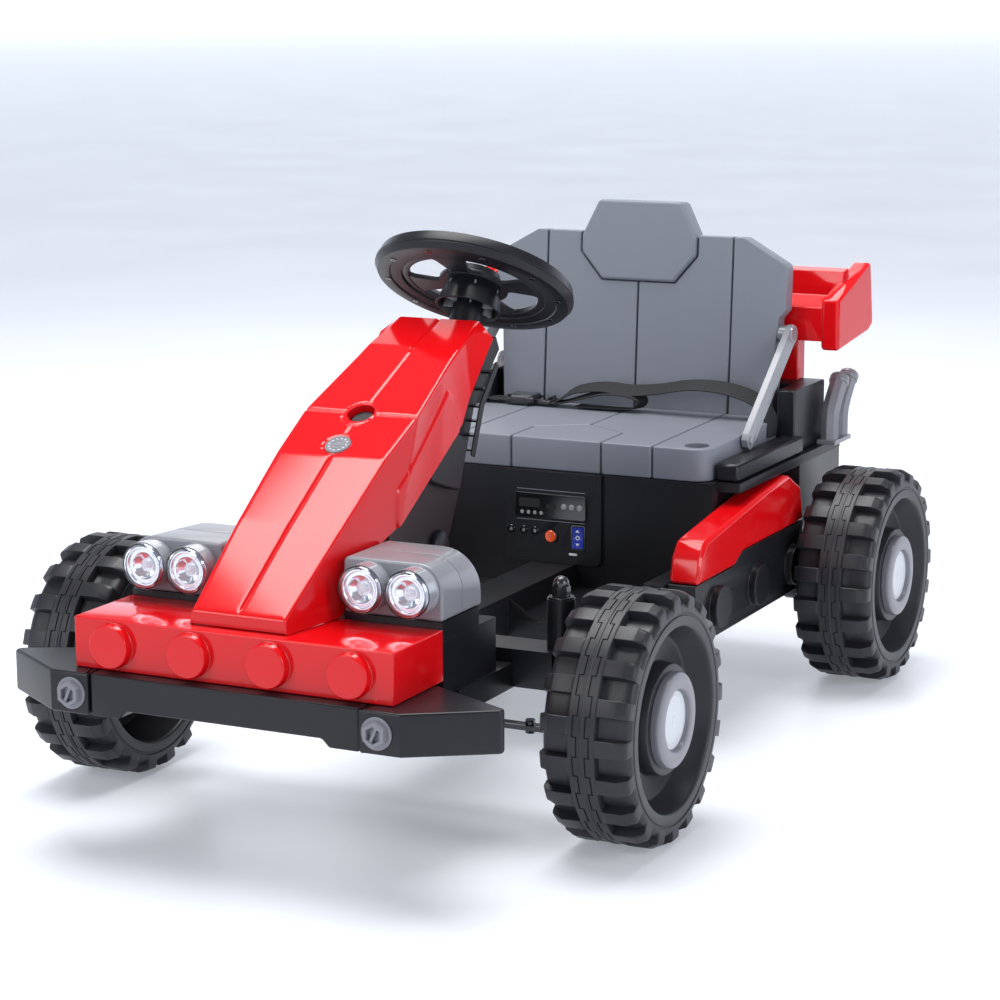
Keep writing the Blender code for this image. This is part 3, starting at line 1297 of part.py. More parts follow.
def tie_rod():
    """The flat bar between the two steering arms, with the crank's slot and its two end bolts."""
    reach = KINGPIN_X
    wide = TIE_PLATE_HALF_WIDTH
    shape = arc(TIE_HALF_WIDTH, -pi / 2, pi / 2, 6, (reach, 0))
    shape += arc(TIE_HALF_WIDTH, pi / 2, 3 * pi / 2, 6, (-reach, 0))
    place = new_empty("tie_rod_place", (0, TIE_Y, TIE_Z), ROOT)
    half = TIE_THICKNESS / 2
    bar = outline("tie_rod", shape, -half, half, "plan", STEEL, place)
    plate = box("crank_plate", (-wide, -wide, -half + 0.0003), (wide, wide, half - 0.0003), None, place)
    slot_width = CRANK_PIN_RADIUS + RUN_GAP
    slot = box("crank_slot", (-slot_width, -TIE_SLOT_HALF_LENGTH, -0.02),
               (slot_width, TIE_SLOT_HALF_LENGTH, 0.02), None, place)
    cut(add(bar, plate), slot)
    for side in (-1, 1):
        x = side * TIE_BOLT_X
        bolt = rod("tie_bolt", TIE_BOLT_RADIUS, (x, 0, -half - PIN_PROUD), (x, 0, half + TIE_BOLT_ABOVE),
                   None, place, sides=6)
        eye = rod("tie_eye", ARM_PIN_RADIUS + RUN_GAP, (side * reach, 0, -0.02), (side * reach, 0, 0.02),
                  None, place, sides=SMALL_SIDES)
        cut(add(bar, bolt), eye)


# Controls

def console():
    """The upright panel with a round and a square pocket, its two rockers and the media unit."""
    top = BOX_TOP - 0.0005
    shape = rounded([
        (-CONSOLE_HALF_WIDTH, top, 0),
        (-CONSOLE_HALF_WIDTH, TUNNEL_TOP + SEAT_GAP, CONSOLE_CORNER),
        (CONSOLE_HALF_WIDTH, TUNNEL_TOP + SEAT_GAP, CONSOLE_CORNER),
        (CONSOLE_HALF_WIDTH, top, 0),
    ])
    back = BOX_FRONT_Y - SEAT_GAP
    panel = outline("control_panel", shape, CONSOLE_FRONT_Y, back, "front", BLACK)
    pocket_back = CONSOLE_FRONT_Y + POCKET_DEPTH
    hinge_y = CONSOLE_FRONT_Y + SWITCH_SINK
    round_pocket = rod("round_pocket", POWER_RADIUS + 0.0008, (POWER_X, CONSOLE_FRONT_Y - 0.01, POWER_Z),
                       (POWER_X, pocket_back, POWER_Z), sides=LARGE_SIDES)
    side = DIRECTION_WIDTH / 2 + 0.0006
    end = DIRECTION_HEIGHT / 2 + 0.0009
    square_pocket = box("square_pocket", (DIRECTION_X - side, CONSOLE_FRONT_Y - 0.01, DIRECTION_Z - end),
                        (DIRECTION_X + side, pocket_back, DIRECTION_Z + end))
    cut(panel, round_pocket, square_pocket)
    thickness = SWITCH_PROUD + SWITCH_SINK
    power = new_empty("pivot_power_switch", (POWER_X, hinge_y, POWER_Z), ROOT)
    rod("power_switch", POWER_RADIUS, (0, 0, 0), (0, -thickness, 0), ORANGE, power)
    direction = new_empty("pivot_direction_switch", (DIRECTION_X, hinge_y, DIRECTION_Z), ROOT)
    box("direction_switch", (-DIRECTION_WIDTH / 2, -thickness, -DIRECTION_HEIGHT / 2),
        (DIRECTION_WIDTH / 2, 0, DIRECTION_HEIGHT / 2), BLUE, direction)
    face = CONSOLE_FRONT_Y - SEAT_GAP
    media = box("media_module", (MEDIA_LOW[0], face - MEDIA_THICKNESS, MEDIA_LOW[1]),
                (MEDIA_HIGH[0], face, MEDIA_HIGH[1]), BLACK)
    bevelled(media, 0.0008)


def accelerator_pedal():
    """A leaning foot plate on a hinge barrel, whose pins turn in the front frame's ears."""
    pivot = new_empty("pivot_pedal", (PEDAL_X, PEDAL_Y, PEDAL_Z), ROOT, (-PEDAL_LEAN, 0, 0))
    half = PEDAL_WIDTH / 2
    pin = half + EAR_THICKNESS
    plate = box("accelerator_pedal", (-half + 0.0005, -PEDAL_THICKNESS / 2, 0),
                (half - 0.0005, PEDAL_THICKNESS / 2, PEDAL_LENGTH), BLACK, pivot)
    bevelled(plate, 0.001)
    barrel = rod("pedal_barrel", PEDAL_HUB_RADIUS, (-half, 0, 0), (half, 0, 0), None, pivot,
                 sides=SMALL_SIDES)
    pins = rod("pedal_pins", PEDAL_PIN_RADIUS, (-pin, 0, 0), (pin, 0, 0), None, pivot,
               sides=SMALL_SIDES)
    add(plate, barrel, pins)


# The whole kart

def main():
    front_frame()
    bumper()
    front_brick()
    lamps()
    floor_pan()
    seat_box()
    battery_and_controls()
    side_panels()
    seat_base()
    seat_back()
    struts()
    belt()
    rear_box()
    spoiler()
    exhausts()
    rear_axle()
    motors()
    hood()
    seat, normal = hood_fittings()
    column_support(seat, normal)
    steer = new_empty("pivot_steering", STEER_CENTRE, ROOT, (-STEER_TILT, 0, 0))
    hub_under = steering_wheel(steer)
    steering_shaft(steer, hub_under)
    left = new_empty("pivot_knuckle_left", (KINGPIN_X, FRONT_AXLE_Y, AXLE_Z), ROOT)
    right = new_empty("pivot_knuckle_right", (-KINGPIN_X, FRONT_AXLE_Y, AXLE_Z), ROOT)
    mirrored(knuckle(left), "knuckle_right", right)
    mirrored(kingpin_nut(left), "kingpin_nut_right", right)
    tie_rod()
    wheel("front_left", FRONT_WHEEL_X, FRONT_AXLE_Y, 1, left)
    wheel("front_right", FRONT_WHEEL_X, FRONT_AXLE_Y, -1, right)
    wheel("rear_left", REAR_WHEEL_X, REAR_AXLE_Y, 1, ROOT)
    wheel("rear_right", REAR_WHEEL_X, REAR_AXLE_Y, -1, ROOT)
    console()
    accelerator_pedal()
    bpy.context.view_layer.update()


main()
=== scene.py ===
"""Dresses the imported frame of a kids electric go-kart and sets up its studio.

Front faces -Y, +Z is up and +X is the driver's left. Sizes are in metres.
"""

import json
import logging
from dataclasses import dataclass, field
from enum import Enum
from math import cos, pi, radians, sin

import bmesh
import bpy
import numpy as np
from mathutils import Matrix, Vector

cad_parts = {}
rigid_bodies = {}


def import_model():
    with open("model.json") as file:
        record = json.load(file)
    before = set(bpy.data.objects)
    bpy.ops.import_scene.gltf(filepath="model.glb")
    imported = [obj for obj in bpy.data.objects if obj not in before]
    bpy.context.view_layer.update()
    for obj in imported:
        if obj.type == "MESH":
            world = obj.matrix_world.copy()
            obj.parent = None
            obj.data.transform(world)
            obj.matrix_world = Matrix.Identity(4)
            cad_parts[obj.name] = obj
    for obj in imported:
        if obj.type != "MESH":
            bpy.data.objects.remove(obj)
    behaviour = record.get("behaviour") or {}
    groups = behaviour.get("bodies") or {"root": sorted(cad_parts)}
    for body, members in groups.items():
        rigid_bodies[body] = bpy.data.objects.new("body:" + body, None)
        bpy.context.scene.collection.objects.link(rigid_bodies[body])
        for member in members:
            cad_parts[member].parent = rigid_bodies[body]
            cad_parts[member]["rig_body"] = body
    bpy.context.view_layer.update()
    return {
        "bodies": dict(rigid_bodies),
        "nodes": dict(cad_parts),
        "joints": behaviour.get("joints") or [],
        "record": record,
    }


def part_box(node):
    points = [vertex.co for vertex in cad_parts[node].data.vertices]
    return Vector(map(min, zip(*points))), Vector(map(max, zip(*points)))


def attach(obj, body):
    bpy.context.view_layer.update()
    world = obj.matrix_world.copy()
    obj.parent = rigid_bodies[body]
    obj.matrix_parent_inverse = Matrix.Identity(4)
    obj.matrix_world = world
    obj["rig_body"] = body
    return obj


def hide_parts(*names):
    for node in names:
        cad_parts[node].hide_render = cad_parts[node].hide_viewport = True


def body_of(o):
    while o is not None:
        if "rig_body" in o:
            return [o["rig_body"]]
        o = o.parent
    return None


log = logging.getLogger("kart")
Colour = tuple[float, float, float]
FRONT_AXLE_Y = -0.3034
CENTRE = (0, 0, 0)
LEFTWARD = (1, 0, 0)
FRONTWARD = (0, -1, 0)
BACKWARD = (0, 1, 0)
UPWARD = (0, 0, 1)


class Slot(Enum):
    """The record's material slots."""

    BLACK = "black_plastic"
    TREAD = "tread_plastic"
    RED = "red_plastic"
    SEAT = "seat_grey"
    SILVER = "silver_grey"
    STEEL = "steel"
    CLEAR = "clear_lens"
    WEBBING = "webbing"
    ORANGE = "orange_switch"
    BLUE = "blue_switch"


class Plane(Enum):
    """The plane that an outline is drawn in."""

    FRONT = "x and z, carried along y"
    SIDE = "y and z, carried along x"
    PLAN = "x and y, carried along z"


class Side(Enum):
    """The driver's side."""

    LEFT = 1
    RIGHT = -1

    @property
    def tag(self) -> str:
        """The side's word in a piece's name."""
        return self.name.lower()


# Finishes


@dataclass(frozen=True)
class Finish:
    """One surface finish: colour with a soft mottle, roughness with a spread, and a moulded grain."""

    name: str
    slot: Slot
    colour: Colour
    shade: float = 0.82
    roughness: float = 0.4
    spread: float = 0.06
    metallic: float = 0.0
    coat: float = 0.0
    coat_roughness: float = 0.08
    clear: float = 0.0
    shine: float = 0.5
    glow: float = 0.0
    mottle: float = 14.0
    grain: float = 1400.0
    depth: float = 0.00003
    woven: bool = False

    def material(self) -> bpy.types.Material:
        """Makes the finish's node material.

        Colour is a noise's mix of the colour and the colour times the shade. On woven cloth the weave's
        height sets the mix instead, which paints shade into the weave's low bands. Roughness is the noise
        spread round its middle. Bump is a fine noise, or the product of two band patterns on woven cloth.

        Returns:
            The new material.
        """
        material = bpy.data.materials.new(self.name)
        material.use_nodes = True
        tree = material.node_tree
        shader = tree.nodes["Principled BSDF"]
        for socket, value in (
            ("Metallic", self.metallic),
            ("Coat Weight", self.coat),
            ("Coat Roughness", self.coat_roughness),
            ("Transmission Weight", self.clear),
            ("Emission Strength", self.glow),
            ("Specular IOR Level", self.shine),
        ):
            shader.inputs[socket].default_value = value
        shader.inputs["Emission Color"].default_value = (*self.colour, 1.0)
        place = tree.nodes.new("ShaderNodeTexCoord")
        broad = self.noise(tree, place, self.mottle, 4.0)
        fine = self.noise(tree, place, self.grain, 2.0)
        blend = tree.nodes.new("ShaderNodeMix")
        blend.data_type = "RGBA"
        blend.inputs["A"].default_value = (*(c * self.shade for c in self.colour), 1.0)
        blend.inputs["B"].default_value = (*self.colour, 1.0)
        rough = tree.nodes.new("ShaderNodeMapRange")
        rough.inputs["To Min"].default_value = max(self.roughness - self.spread, 0.02)
        rough.inputs["To Max"].default_value = self.roughness + self.spread
        bump = tree.nodes.new("ShaderNodeBump")
        bump.inputs["Distance"].default_value = self.depth
        height = self.weave(tree, place) if self.woven else fine
        tree.links.new(broad.outputs["Fac"], rough.inputs["Value"])
        # On woven cloth the weave's height mixes the colours: painted shade in the weave's low bands.
        tree.links.new((height if self.woven else broad).outputs[0], blend.inputs["Factor"])
        tree.links.new(blend.outputs["Result"], shader.inputs["Base Color"])
        tree.links.new(rough.outputs["Result"], shader.inputs["Roughness"])
        tree.links.new(height.outputs[0], bump.inputs["Height"])
        tree.links.new(bump.outputs["Normal"], shader.inputs["Normal"])
        return material

    @staticmethod
    def noise(tree: bpy.types.NodeTree, place: bpy.types.Node, scale: float, detail: float) -> bpy.types.Node:
        """Adds a noise on Object coordinates.

        Args:
            tree: the material's nodes.
            place: the coordinate node.
            scale: waves in a metre.
            detail: octaves.

        Returns:
            The noise node.
        """
        noise = tree.nodes.new("ShaderNodeTexNoise")
        noise.inputs["Scale"].default_value = scale
        noise.inputs["Detail"].default_value = detail
        tree.links.new(place.outputs["Object"], noise.inputs["Vector"])
        return noise

    @staticmethod
    def weave(tree: bpy.types.NodeTree, place: bpy.types.Node) -> bpy.types.Node:
        """Adds a weave on the piece's own map, whose unit is a metre: ribs across times ribs along.

        Args:
            tree: the material's nodes.
            place: the coordinate node.

        Returns:
            The node whose first output is the weave's height.
        """
        height = tree.nodes.new("ShaderNodeMath")
        height.operation = "MULTIPLY"
        for number, (direction, scale) in enumerate((("X", 110.0), ("DIAGONAL", 150.0))):
            bands = tree.nodes.new("ShaderNodeTexWave")
            bands.bands_direction = direction
            bands.inputs["Scale"].default_value = scale
            tree.links.new(place.outputs["UV"], bands.inputs["Vector"])
            tree.links.new(bands.outputs["Fac"], height.inputs[number])
        return height


BLACK_SATIN = Finish("black_satin", Slot.BLACK, (0.010, 0.010, 0.013), roughness=0.34, shine=0.34,
                     depth=0.00005)
BLACK_GLOSS = Finish("black_gloss", Slot.BLACK, (0.008, 0.008, 0.010), roughness=0.12,
                     depth=0.00001, coat=0.5)
# Flat black as painted shade in the hood's hole, the pods' seams and the player's slot. The player's window
# has it as its own dark colour.
SHADOW_BLACK = Finish("shadow_black", Slot.BLACK, (0.006, 0.006, 0.007), roughness=0.7)
TREAD_CHARCOAL = Finish("tread_charcoal", Slot.TREAD, (0.018, 0.018, 0.022), roughness=0.40, shine=0.42,
                        depth=0.00008)
RED_GLOSS = Finish("red_gloss", Slot.RED, (0.68, 0.004, 0.007), shade=0.94, roughness=0.09,
                   spread=0.02, shine=0.42, depth=0.000003, mottle=8.0)
SEAT_MATT = Finish("seat_matt", Slot.SEAT, (0.190, 0.203, 0.238), shade=0.93, roughness=0.42, depth=0.00006)
# Painted shade: the seat's core, far darker than its panels, shows only in the grooves between them.
SEAT_GROOVE_SHADE = Finish("seat_core", Slot.SEAT, (0.045, 0.050, 0.065), roughness=0.6)
SILVER_SATIN = Finish("silver_satin", Slot.SILVER, (0.235, 0.240, 0.265), shade=0.93, roughness=0.30,
                      depth=0.00002, coat=0.3)
SILVER_BRIGHT = Finish("silver_bright", Slot.SILVER, (0.62, 0.63, 0.66), shade=0.95, roughness=0.22,
                       metallic=0.8)
HUB_GREY = Finish("hub_grey", Slot.SILVER, (0.20, 0.20, 0.225), shade=0.93, roughness=0.36,
                  depth=0.00003, coat=0.2)
DISC_PALE = Finish("disc_pale", Slot.SILVER, (0.62, 0.64, 0.68), shade=0.95, roughness=0.32, depth=0.00002)
REFLECTOR = Finish("reflector", Slot.SILVER, (0.86, 0.87, 0.90), shade=0.97, roughness=0.10, metallic=1.0)
STEEL_PLAIN = Finish("steel_plain", Slot.STEEL, (0.50, 0.50, 0.52), roughness=0.28, metallic=1.0,
                     grain=2600.0)
BOLT_DARK = Finish("bolt_dark", Slot.STEEL, (0.035, 0.035, 0.040), roughness=0.22, metallic=0.6, coat=0.6)
LENS_CLEAR = Finish("lens_clear", Slot.CLEAR, (0.96, 0.97, 1.0), shade=1.0, roughness=0.04,
                    spread=0.01, clear=1.0)
LENS_WALL = Finish("lens_wall", Slot.CLEAR, (0.72, 0.74, 0.80), shade=0.96, roughness=0.10,
                   clear=0.62, coat=1.0)
BULB_GLASS = Finish("bulb_glass", Slot.CLEAR, (0.92, 0.94, 1.0), shade=0.98, roughness=0.08,
                    coat=1.0, glow=0.15)
# The webbing's shade sets how dark the weave's low bands are painted, as shade.
WEBBING = Finish("belt_webbing", Slot.WEBBING, (0.016, 0.016, 0.018), shade=0.35, roughness=0.72,
                 depth=0.0004, woven=True)
ORANGE_ROCKER = Finish("orange_rocker", Slot.ORANGE, (0.90, 0.10, 0.012), shade=0.93,
                       roughness=0.25, coat=0.6)
BLUE_ROCKER = Finish("blue_rocker", Slot.BLUE, (0.012, 0.035, 0.42), shade=0.9, roughness=0.25, coat=0.6)
MARK_WHITE = Finish("mark_white", Slot.BLUE, (0.82, 0.84, 0.88), shade=0.97, roughness=0.4)
PRINT_GREY = Finish("print_grey", Slot.BLACK, (0.28, 0.28, 0.30), shade=0.95, roughness=0.5)
FLOOR_PALE = Finish("floor_pale", Slot.SILVER, (0.74, 0.765, 0.81), shade=0.98, roughness=0.34,
                    glow=0.30, mottle=2.0)
WALL_PALE = Finish("wall_pale", Slot.SILVER, (0.84, 0.88, 0.96), shade=0.99, roughness=0.9,
                   glow=0.84, mottle=0.2)


# Shapes as arrays


@dataclass
class Shell:
    """One surface: its points, its faces as lists of point numbers, and a map in metres where it has one."""

    points: np.ndarray
    faces: list[list[int]]
    chart: np.ndarray | None = None

    def placed(self, matrix: np.ndarray, offset: np.ndarray) -> "Shell":
        """The shell turned by a 3 x 3 matrix and moved: point = matrix times point, plus offset."""
        return Shell(self.points @ np.asarray(matrix, float).T + np.asarray(offset, float),
                     self.faces, self.chart)

    def on(self, side: Side) -> "Shell":
        """The shell on a side: x times the side's sign, so a shape drawn on the driver's left stays there."""
        return self.placed(np.diag([float(side.value), 1.0, 1.0]), np.zeros(3))

    def swelled(self, x: float, z: float, by_x: float, by_z: float) -> "Shell":
        """The shell with x and z scaled about a line along y: centre + factor * (coordinate - centre).

        Args:
            x: the line's x.
            z: the line's z.
            by_x: factor across.
            by_z: factor upwards.

        Returns:
            The changed copy.
        """
        grown = self.points.copy()
        grown[:, 0] = x + (grown[:, 0] - x) * by_x
        grown[:, 2] = z + (grown[:, 2] - z) * by_z
        return Shell(grown, self.faces, self.chart)

    def sloped(self, per_y: float, from_y: float) -> "Shell":
        """The shell with z raised by per_y for each metre behind from_y."""
        raised = self.points.copy()
        raised[:, 2] += per_y * (raised[:, 1] - from_y)
        return Shell(raised, self.faces, self.chart)


def unit(vectors: np.ndarray) -> np.ndarray:
    """Each vector over its own length."""
    return vectors / np.maximum(np.linalg.norm(vectors, axis=-1, keepdims=True), 1e-12)


def quads(rows: int, columns: int, wrap_rows: bool = False, wrap_columns: bool = False) -> list[list[int]]:
    """Numbers the four-sided faces of a grid of points.

    A face is (row, column), the next column, both next and the next row.

    Args:
        rows: rows of points.
        columns: points in a row.
        wrap_rows: the last row joins the first.
        wrap_columns: the last column joins the first.

    Returns:
        One list of four point numbers a face.
    """
    row, column = np.meshgrid(
        np.arange(rows if wrap_rows else rows - 1),
        np.arange(columns if wrap_columns else columns - 1),
        indexing="ij",
    )
    below, right = (row + 1) % rows, (column + 1) % columns
    corners = [row * columns + column, row * columns + right, below * columns + right,
               below * columns + column]
    return np.stack(corners, -1).reshape(-1, 4).tolist()


def ringed(rings: np.ndarray, closed: bool = False) -> Shell:
    """A tube through rings of points, with a flat cap at each end or joined end to end.

    Args:
        rings: array of rings, points and coordinates.
        closed: the last ring joins the first, without caps.

    Returns:
        The closed shell.
    """
    count, around = rings.shape[:2]
    faces = quads(count, around, closed, True)
    if not closed:
        faces += [list(range(around))[::-1], list(range((count - 1) * around, count * around))]
    return Shell(rings.reshape(-1, 3), faces)


def eased(points: list, radii: float | list, steps: int = 5, whole: bool = False) -> np.ndarray:
    """Rounds an outline's corners with arcs.

    Each corner's centre lies on its bisector at radius / sin(half angle), and the arc is swept between the
    two touching points, at radius / tan(half angle) from the corner.

    Args:
        points: the corners, in order.
        radii: one radius, or one a corner.
        steps: chords in an arc.
        whole: keeps points that coincide, so that outlines keep one count.

    Returns:
        The outline, counterclockwise.
    """
    corner = np.asarray(points, float)
    radius = np.broadcast_to(np.asarray(radii, float), len(corner)).astype(float)
    if np.sum(corner[:, 0] * np.roll(corner[:, 1], -1) - np.roll(corner[:, 0], -1) * corner[:, 1]) < 0:
        corner, radius = corner[::-1], radius[::-1]
    before, after = unit(np.roll(corner, 1, 0) - corner), unit(np.roll(corner, -1, 0) - corner)
    half = np.arccos(np.clip((before * after).sum(1), -1, 1)) / 2
    centre = corner + unit(before + after) * (radius / np.sin(half))[:, None]
    start = corner + before * (radius / np.tan(half))[:, None] - centre
    end = corner + after * (radius / np.tan(half))[:, None] - centre
    swing = np.maximum(pi - 2 * half, 1e-6)[:, None]
    share = np.linspace(0, 1, steps + 1)[None]
    first, last = np.sin((1 - share) * swing) / np.sin(swing), np.sin(share * swing) / np.sin(swing)
    arcs = centre[:, None] + first[..., None] * start[:, None] + last[..., None] * end[:, None]
    outline = arcs.reshape(-1, 2)
    if whole:
        return outline
    return outline[np.linalg.norm(outline - np.roll(outline, 1, 0), axis=1) > 1e-6]


def inset(outline: np.ndarray, amount: np.ndarray) -> np.ndarray:
    """Moves an outline's sides inwards by each amount.

    A corner moves by (n0 + n1) / (1 + n0 . n1) times the amount, with n0 and n1 its two sides' normals.

    Args:
        outline: counterclockwise points.
        amount: one amount a ring.

    Returns:
        Array of rings, points and two coordinates.
    """
    into, out_of = unit(outline - np.roll(outline, 1, 0)), unit(np.roll(outline, -1, 0) - outline)
    first, second = into[:, ::-1] * (-1, 1), out_of[:, ::-1] * (-1, 1)
    mitre = (first + second) / (1 + (first * second).sum(1, keepdims=True))
    return outline[None] + np.asarray(amount)[:, None, None] * mitre[None]


def slab(outline: np.ndarray, plane: Plane, low: float, high: float, edge: float = 0.001,
         steps: int = 3) -> Shell:
    """Carries an outline along its plane's normal, with both rims rounded.

    The rim's inset is edge * (1 - sin a) at the height edge * (1 - cos a), for a from 0 to a right angle. One
    step makes a chamfer.

    Args:
        outline: counterclockwise points.
        plane: the plane of the outline.
        low: where it starts.
        high: where it ends.
        edge: the rim's radius.
        steps: chords in a rim.

    Returns:
        The closed shell.
    """
    turn = np.linspace(0, pi / 2, steps + 1)
    depth = edge * (1 - np.sin(turn))
    rise = edge * (1 - np.cos(turn))
    flat = inset(np.asarray(outline, float), np.concatenate([depth, depth[::-1]]))
    height = np.concatenate([low + rise, high - rise[::-1]])[:, None]
    height = np.broadcast_to(height, flat.shape[:2])
    order = {
        Plane.FRONT: (flat[..., 0], height, flat[..., 1]),
        Plane.SIDE: (height, flat[..., 0], flat[..., 1]),
        Plane.PLAN: (flat[..., 0], flat[..., 1], height),
    }[plane]
    return ringed(np.stack(order, -1))


def rectangle(low: tuple, high: tuple, corner: float) -> np.ndarray:
    """The outline of a rectangle between two opposite points, its corners rounded."""
    (u0, v0), (u1, v1) = low, high
    return eased([(u0, v0), (u1, v0), (u1, v1), (u0, v1)], corner)


def block(low: tuple, high: tuple, corner: float = 0.002, edge: float = 0.001,
          plane: Plane = Plane.PLAN) -> Shell:
    """A box with rounded corners and rims.

    Args:
        low: its lowest x, y and z.
        high: its highest.
        corner: radius of the corners, seen along the plane's normal.
        edge: radius of the rims.
        plane: the plane of its outline.

    Returns:
        The closed shell.
    """
    (x0, y0, z0), (x1, y1, z1) = low, high
    u, v, w = {
        Plane.FRONT: ((x0, x1), (z0, z1), (y0, y1)),
        Plane.SIDE: ((y0, y1), (z0, z1), (x0, x1)),
        Plane.PLAN: ((x0, x1), (y0, y1), (z0, z1)),
    }[plane]
    return slab(rectangle((u[0], v[0]), (u[1], v[1]), corner), plane, w[0], w[1], edge)


def frame_on(axis: tuple) -> np.ndarray:
    """Two unit vectors across an axis, as cross products with a helper, and the axis itself.

    Args:
        axis: the direction, of any length.

    Returns:
        The three vectors as rows.
    """
    along = unit(np.asarray(axis, float))
    helper = np.array([1.0, 0, 0]) if abs(along[0]) < 0.9 else np.array([0, 0, 1.0])
    across = unit(np.cross(along, helper))
    return np.stack([across, np.cross(along, across), along])


def turned(profile: list, origin: tuple, axis: tuple, steps: int = 48, ring: bool = False,
           smooth: float = 0.0) -> Shell:
    """Turns a profile of (radius, height) round an axis: point = origin + height * axis + radius * direction.

    Args:
        profile: radius and height of each point.
        origin: where height is zero.
        axis: the direction of height.
        steps: sides.
        ring: the profile is closed, as for a ring.
        smooth: radius of the profile's corners, where it is a ring.

    Returns:
        The closed shell.
    """
    points = eased(profile, smooth, 3) if smooth else np.asarray(profile, float)
    across, up, along = frame_on(axis)
    angle = np.linspace(0, 2 * pi, steps, endpoint=False)
    spoke = np.cos(angle)[:, None] * across + np.sin(angle)[:, None] * up
    radius, height = np.maximum(points[:, 0], 1e-4), points[:, 1]
    rings = np.asarray(origin, float) + height[:, None, None] * along + radius[:, None, None] * spoke[None]
    return ringed(rings, ring)


def carried(section: np.ndarray, path: np.ndarray, side: tuple) -> Shell:
    """Carries a section along a flat path, mitred where it turns, with a map of distance round and along.

    A section point (a, b) lies at path + a * side + b * normal / cos(half the turn).

    Args:
        section: points across (side, normal).
        path: points of the path, in a plane square to side.
        side: unit vector across the path.

    Returns:
        The closed shell.
    """
    across = np.asarray(side, float)
    step = unit(np.diff(path, axis=0))
    before, after = np.vstack([step[:1], step]), np.vstack([step, step[-1:]])
    tangent = unit(before + after)
    normal = np.cross(across, tangent) / np.sqrt((1 + (before * after).sum(1, keepdims=True)) / 2)
    rings = path[:, None] + section[None, :, :1] * across + section[None, :, 1:] * normal[:, None]
    shell = ringed(rings)
    along = np.concatenate([[0], np.cumsum(np.linalg.norm(np.diff(path, axis=0), axis=1))])
    gap = np.linalg.norm(section - np.roll(section, -1, 0), axis=1)
    around = np.concatenate([[0], np.cumsum(gap)])
    row, column = np.meshgrid(np.arange(len(path) - 1), np.arange(len(section)), indexing="ij")
    corner_row = np.stack([row, row, row + 1, row + 1], -1).reshape(-1)
    corner_column = np.stack([column, column + 1, column + 1, column], -1).reshape(-1)
    charted = np.stack([around[corner_column], along[corner_row]], -1)
    shell.chart = np.vstack([charted, np.zeros((2 * len(section), 2))])
    return shell


# Putting pieces in the scene


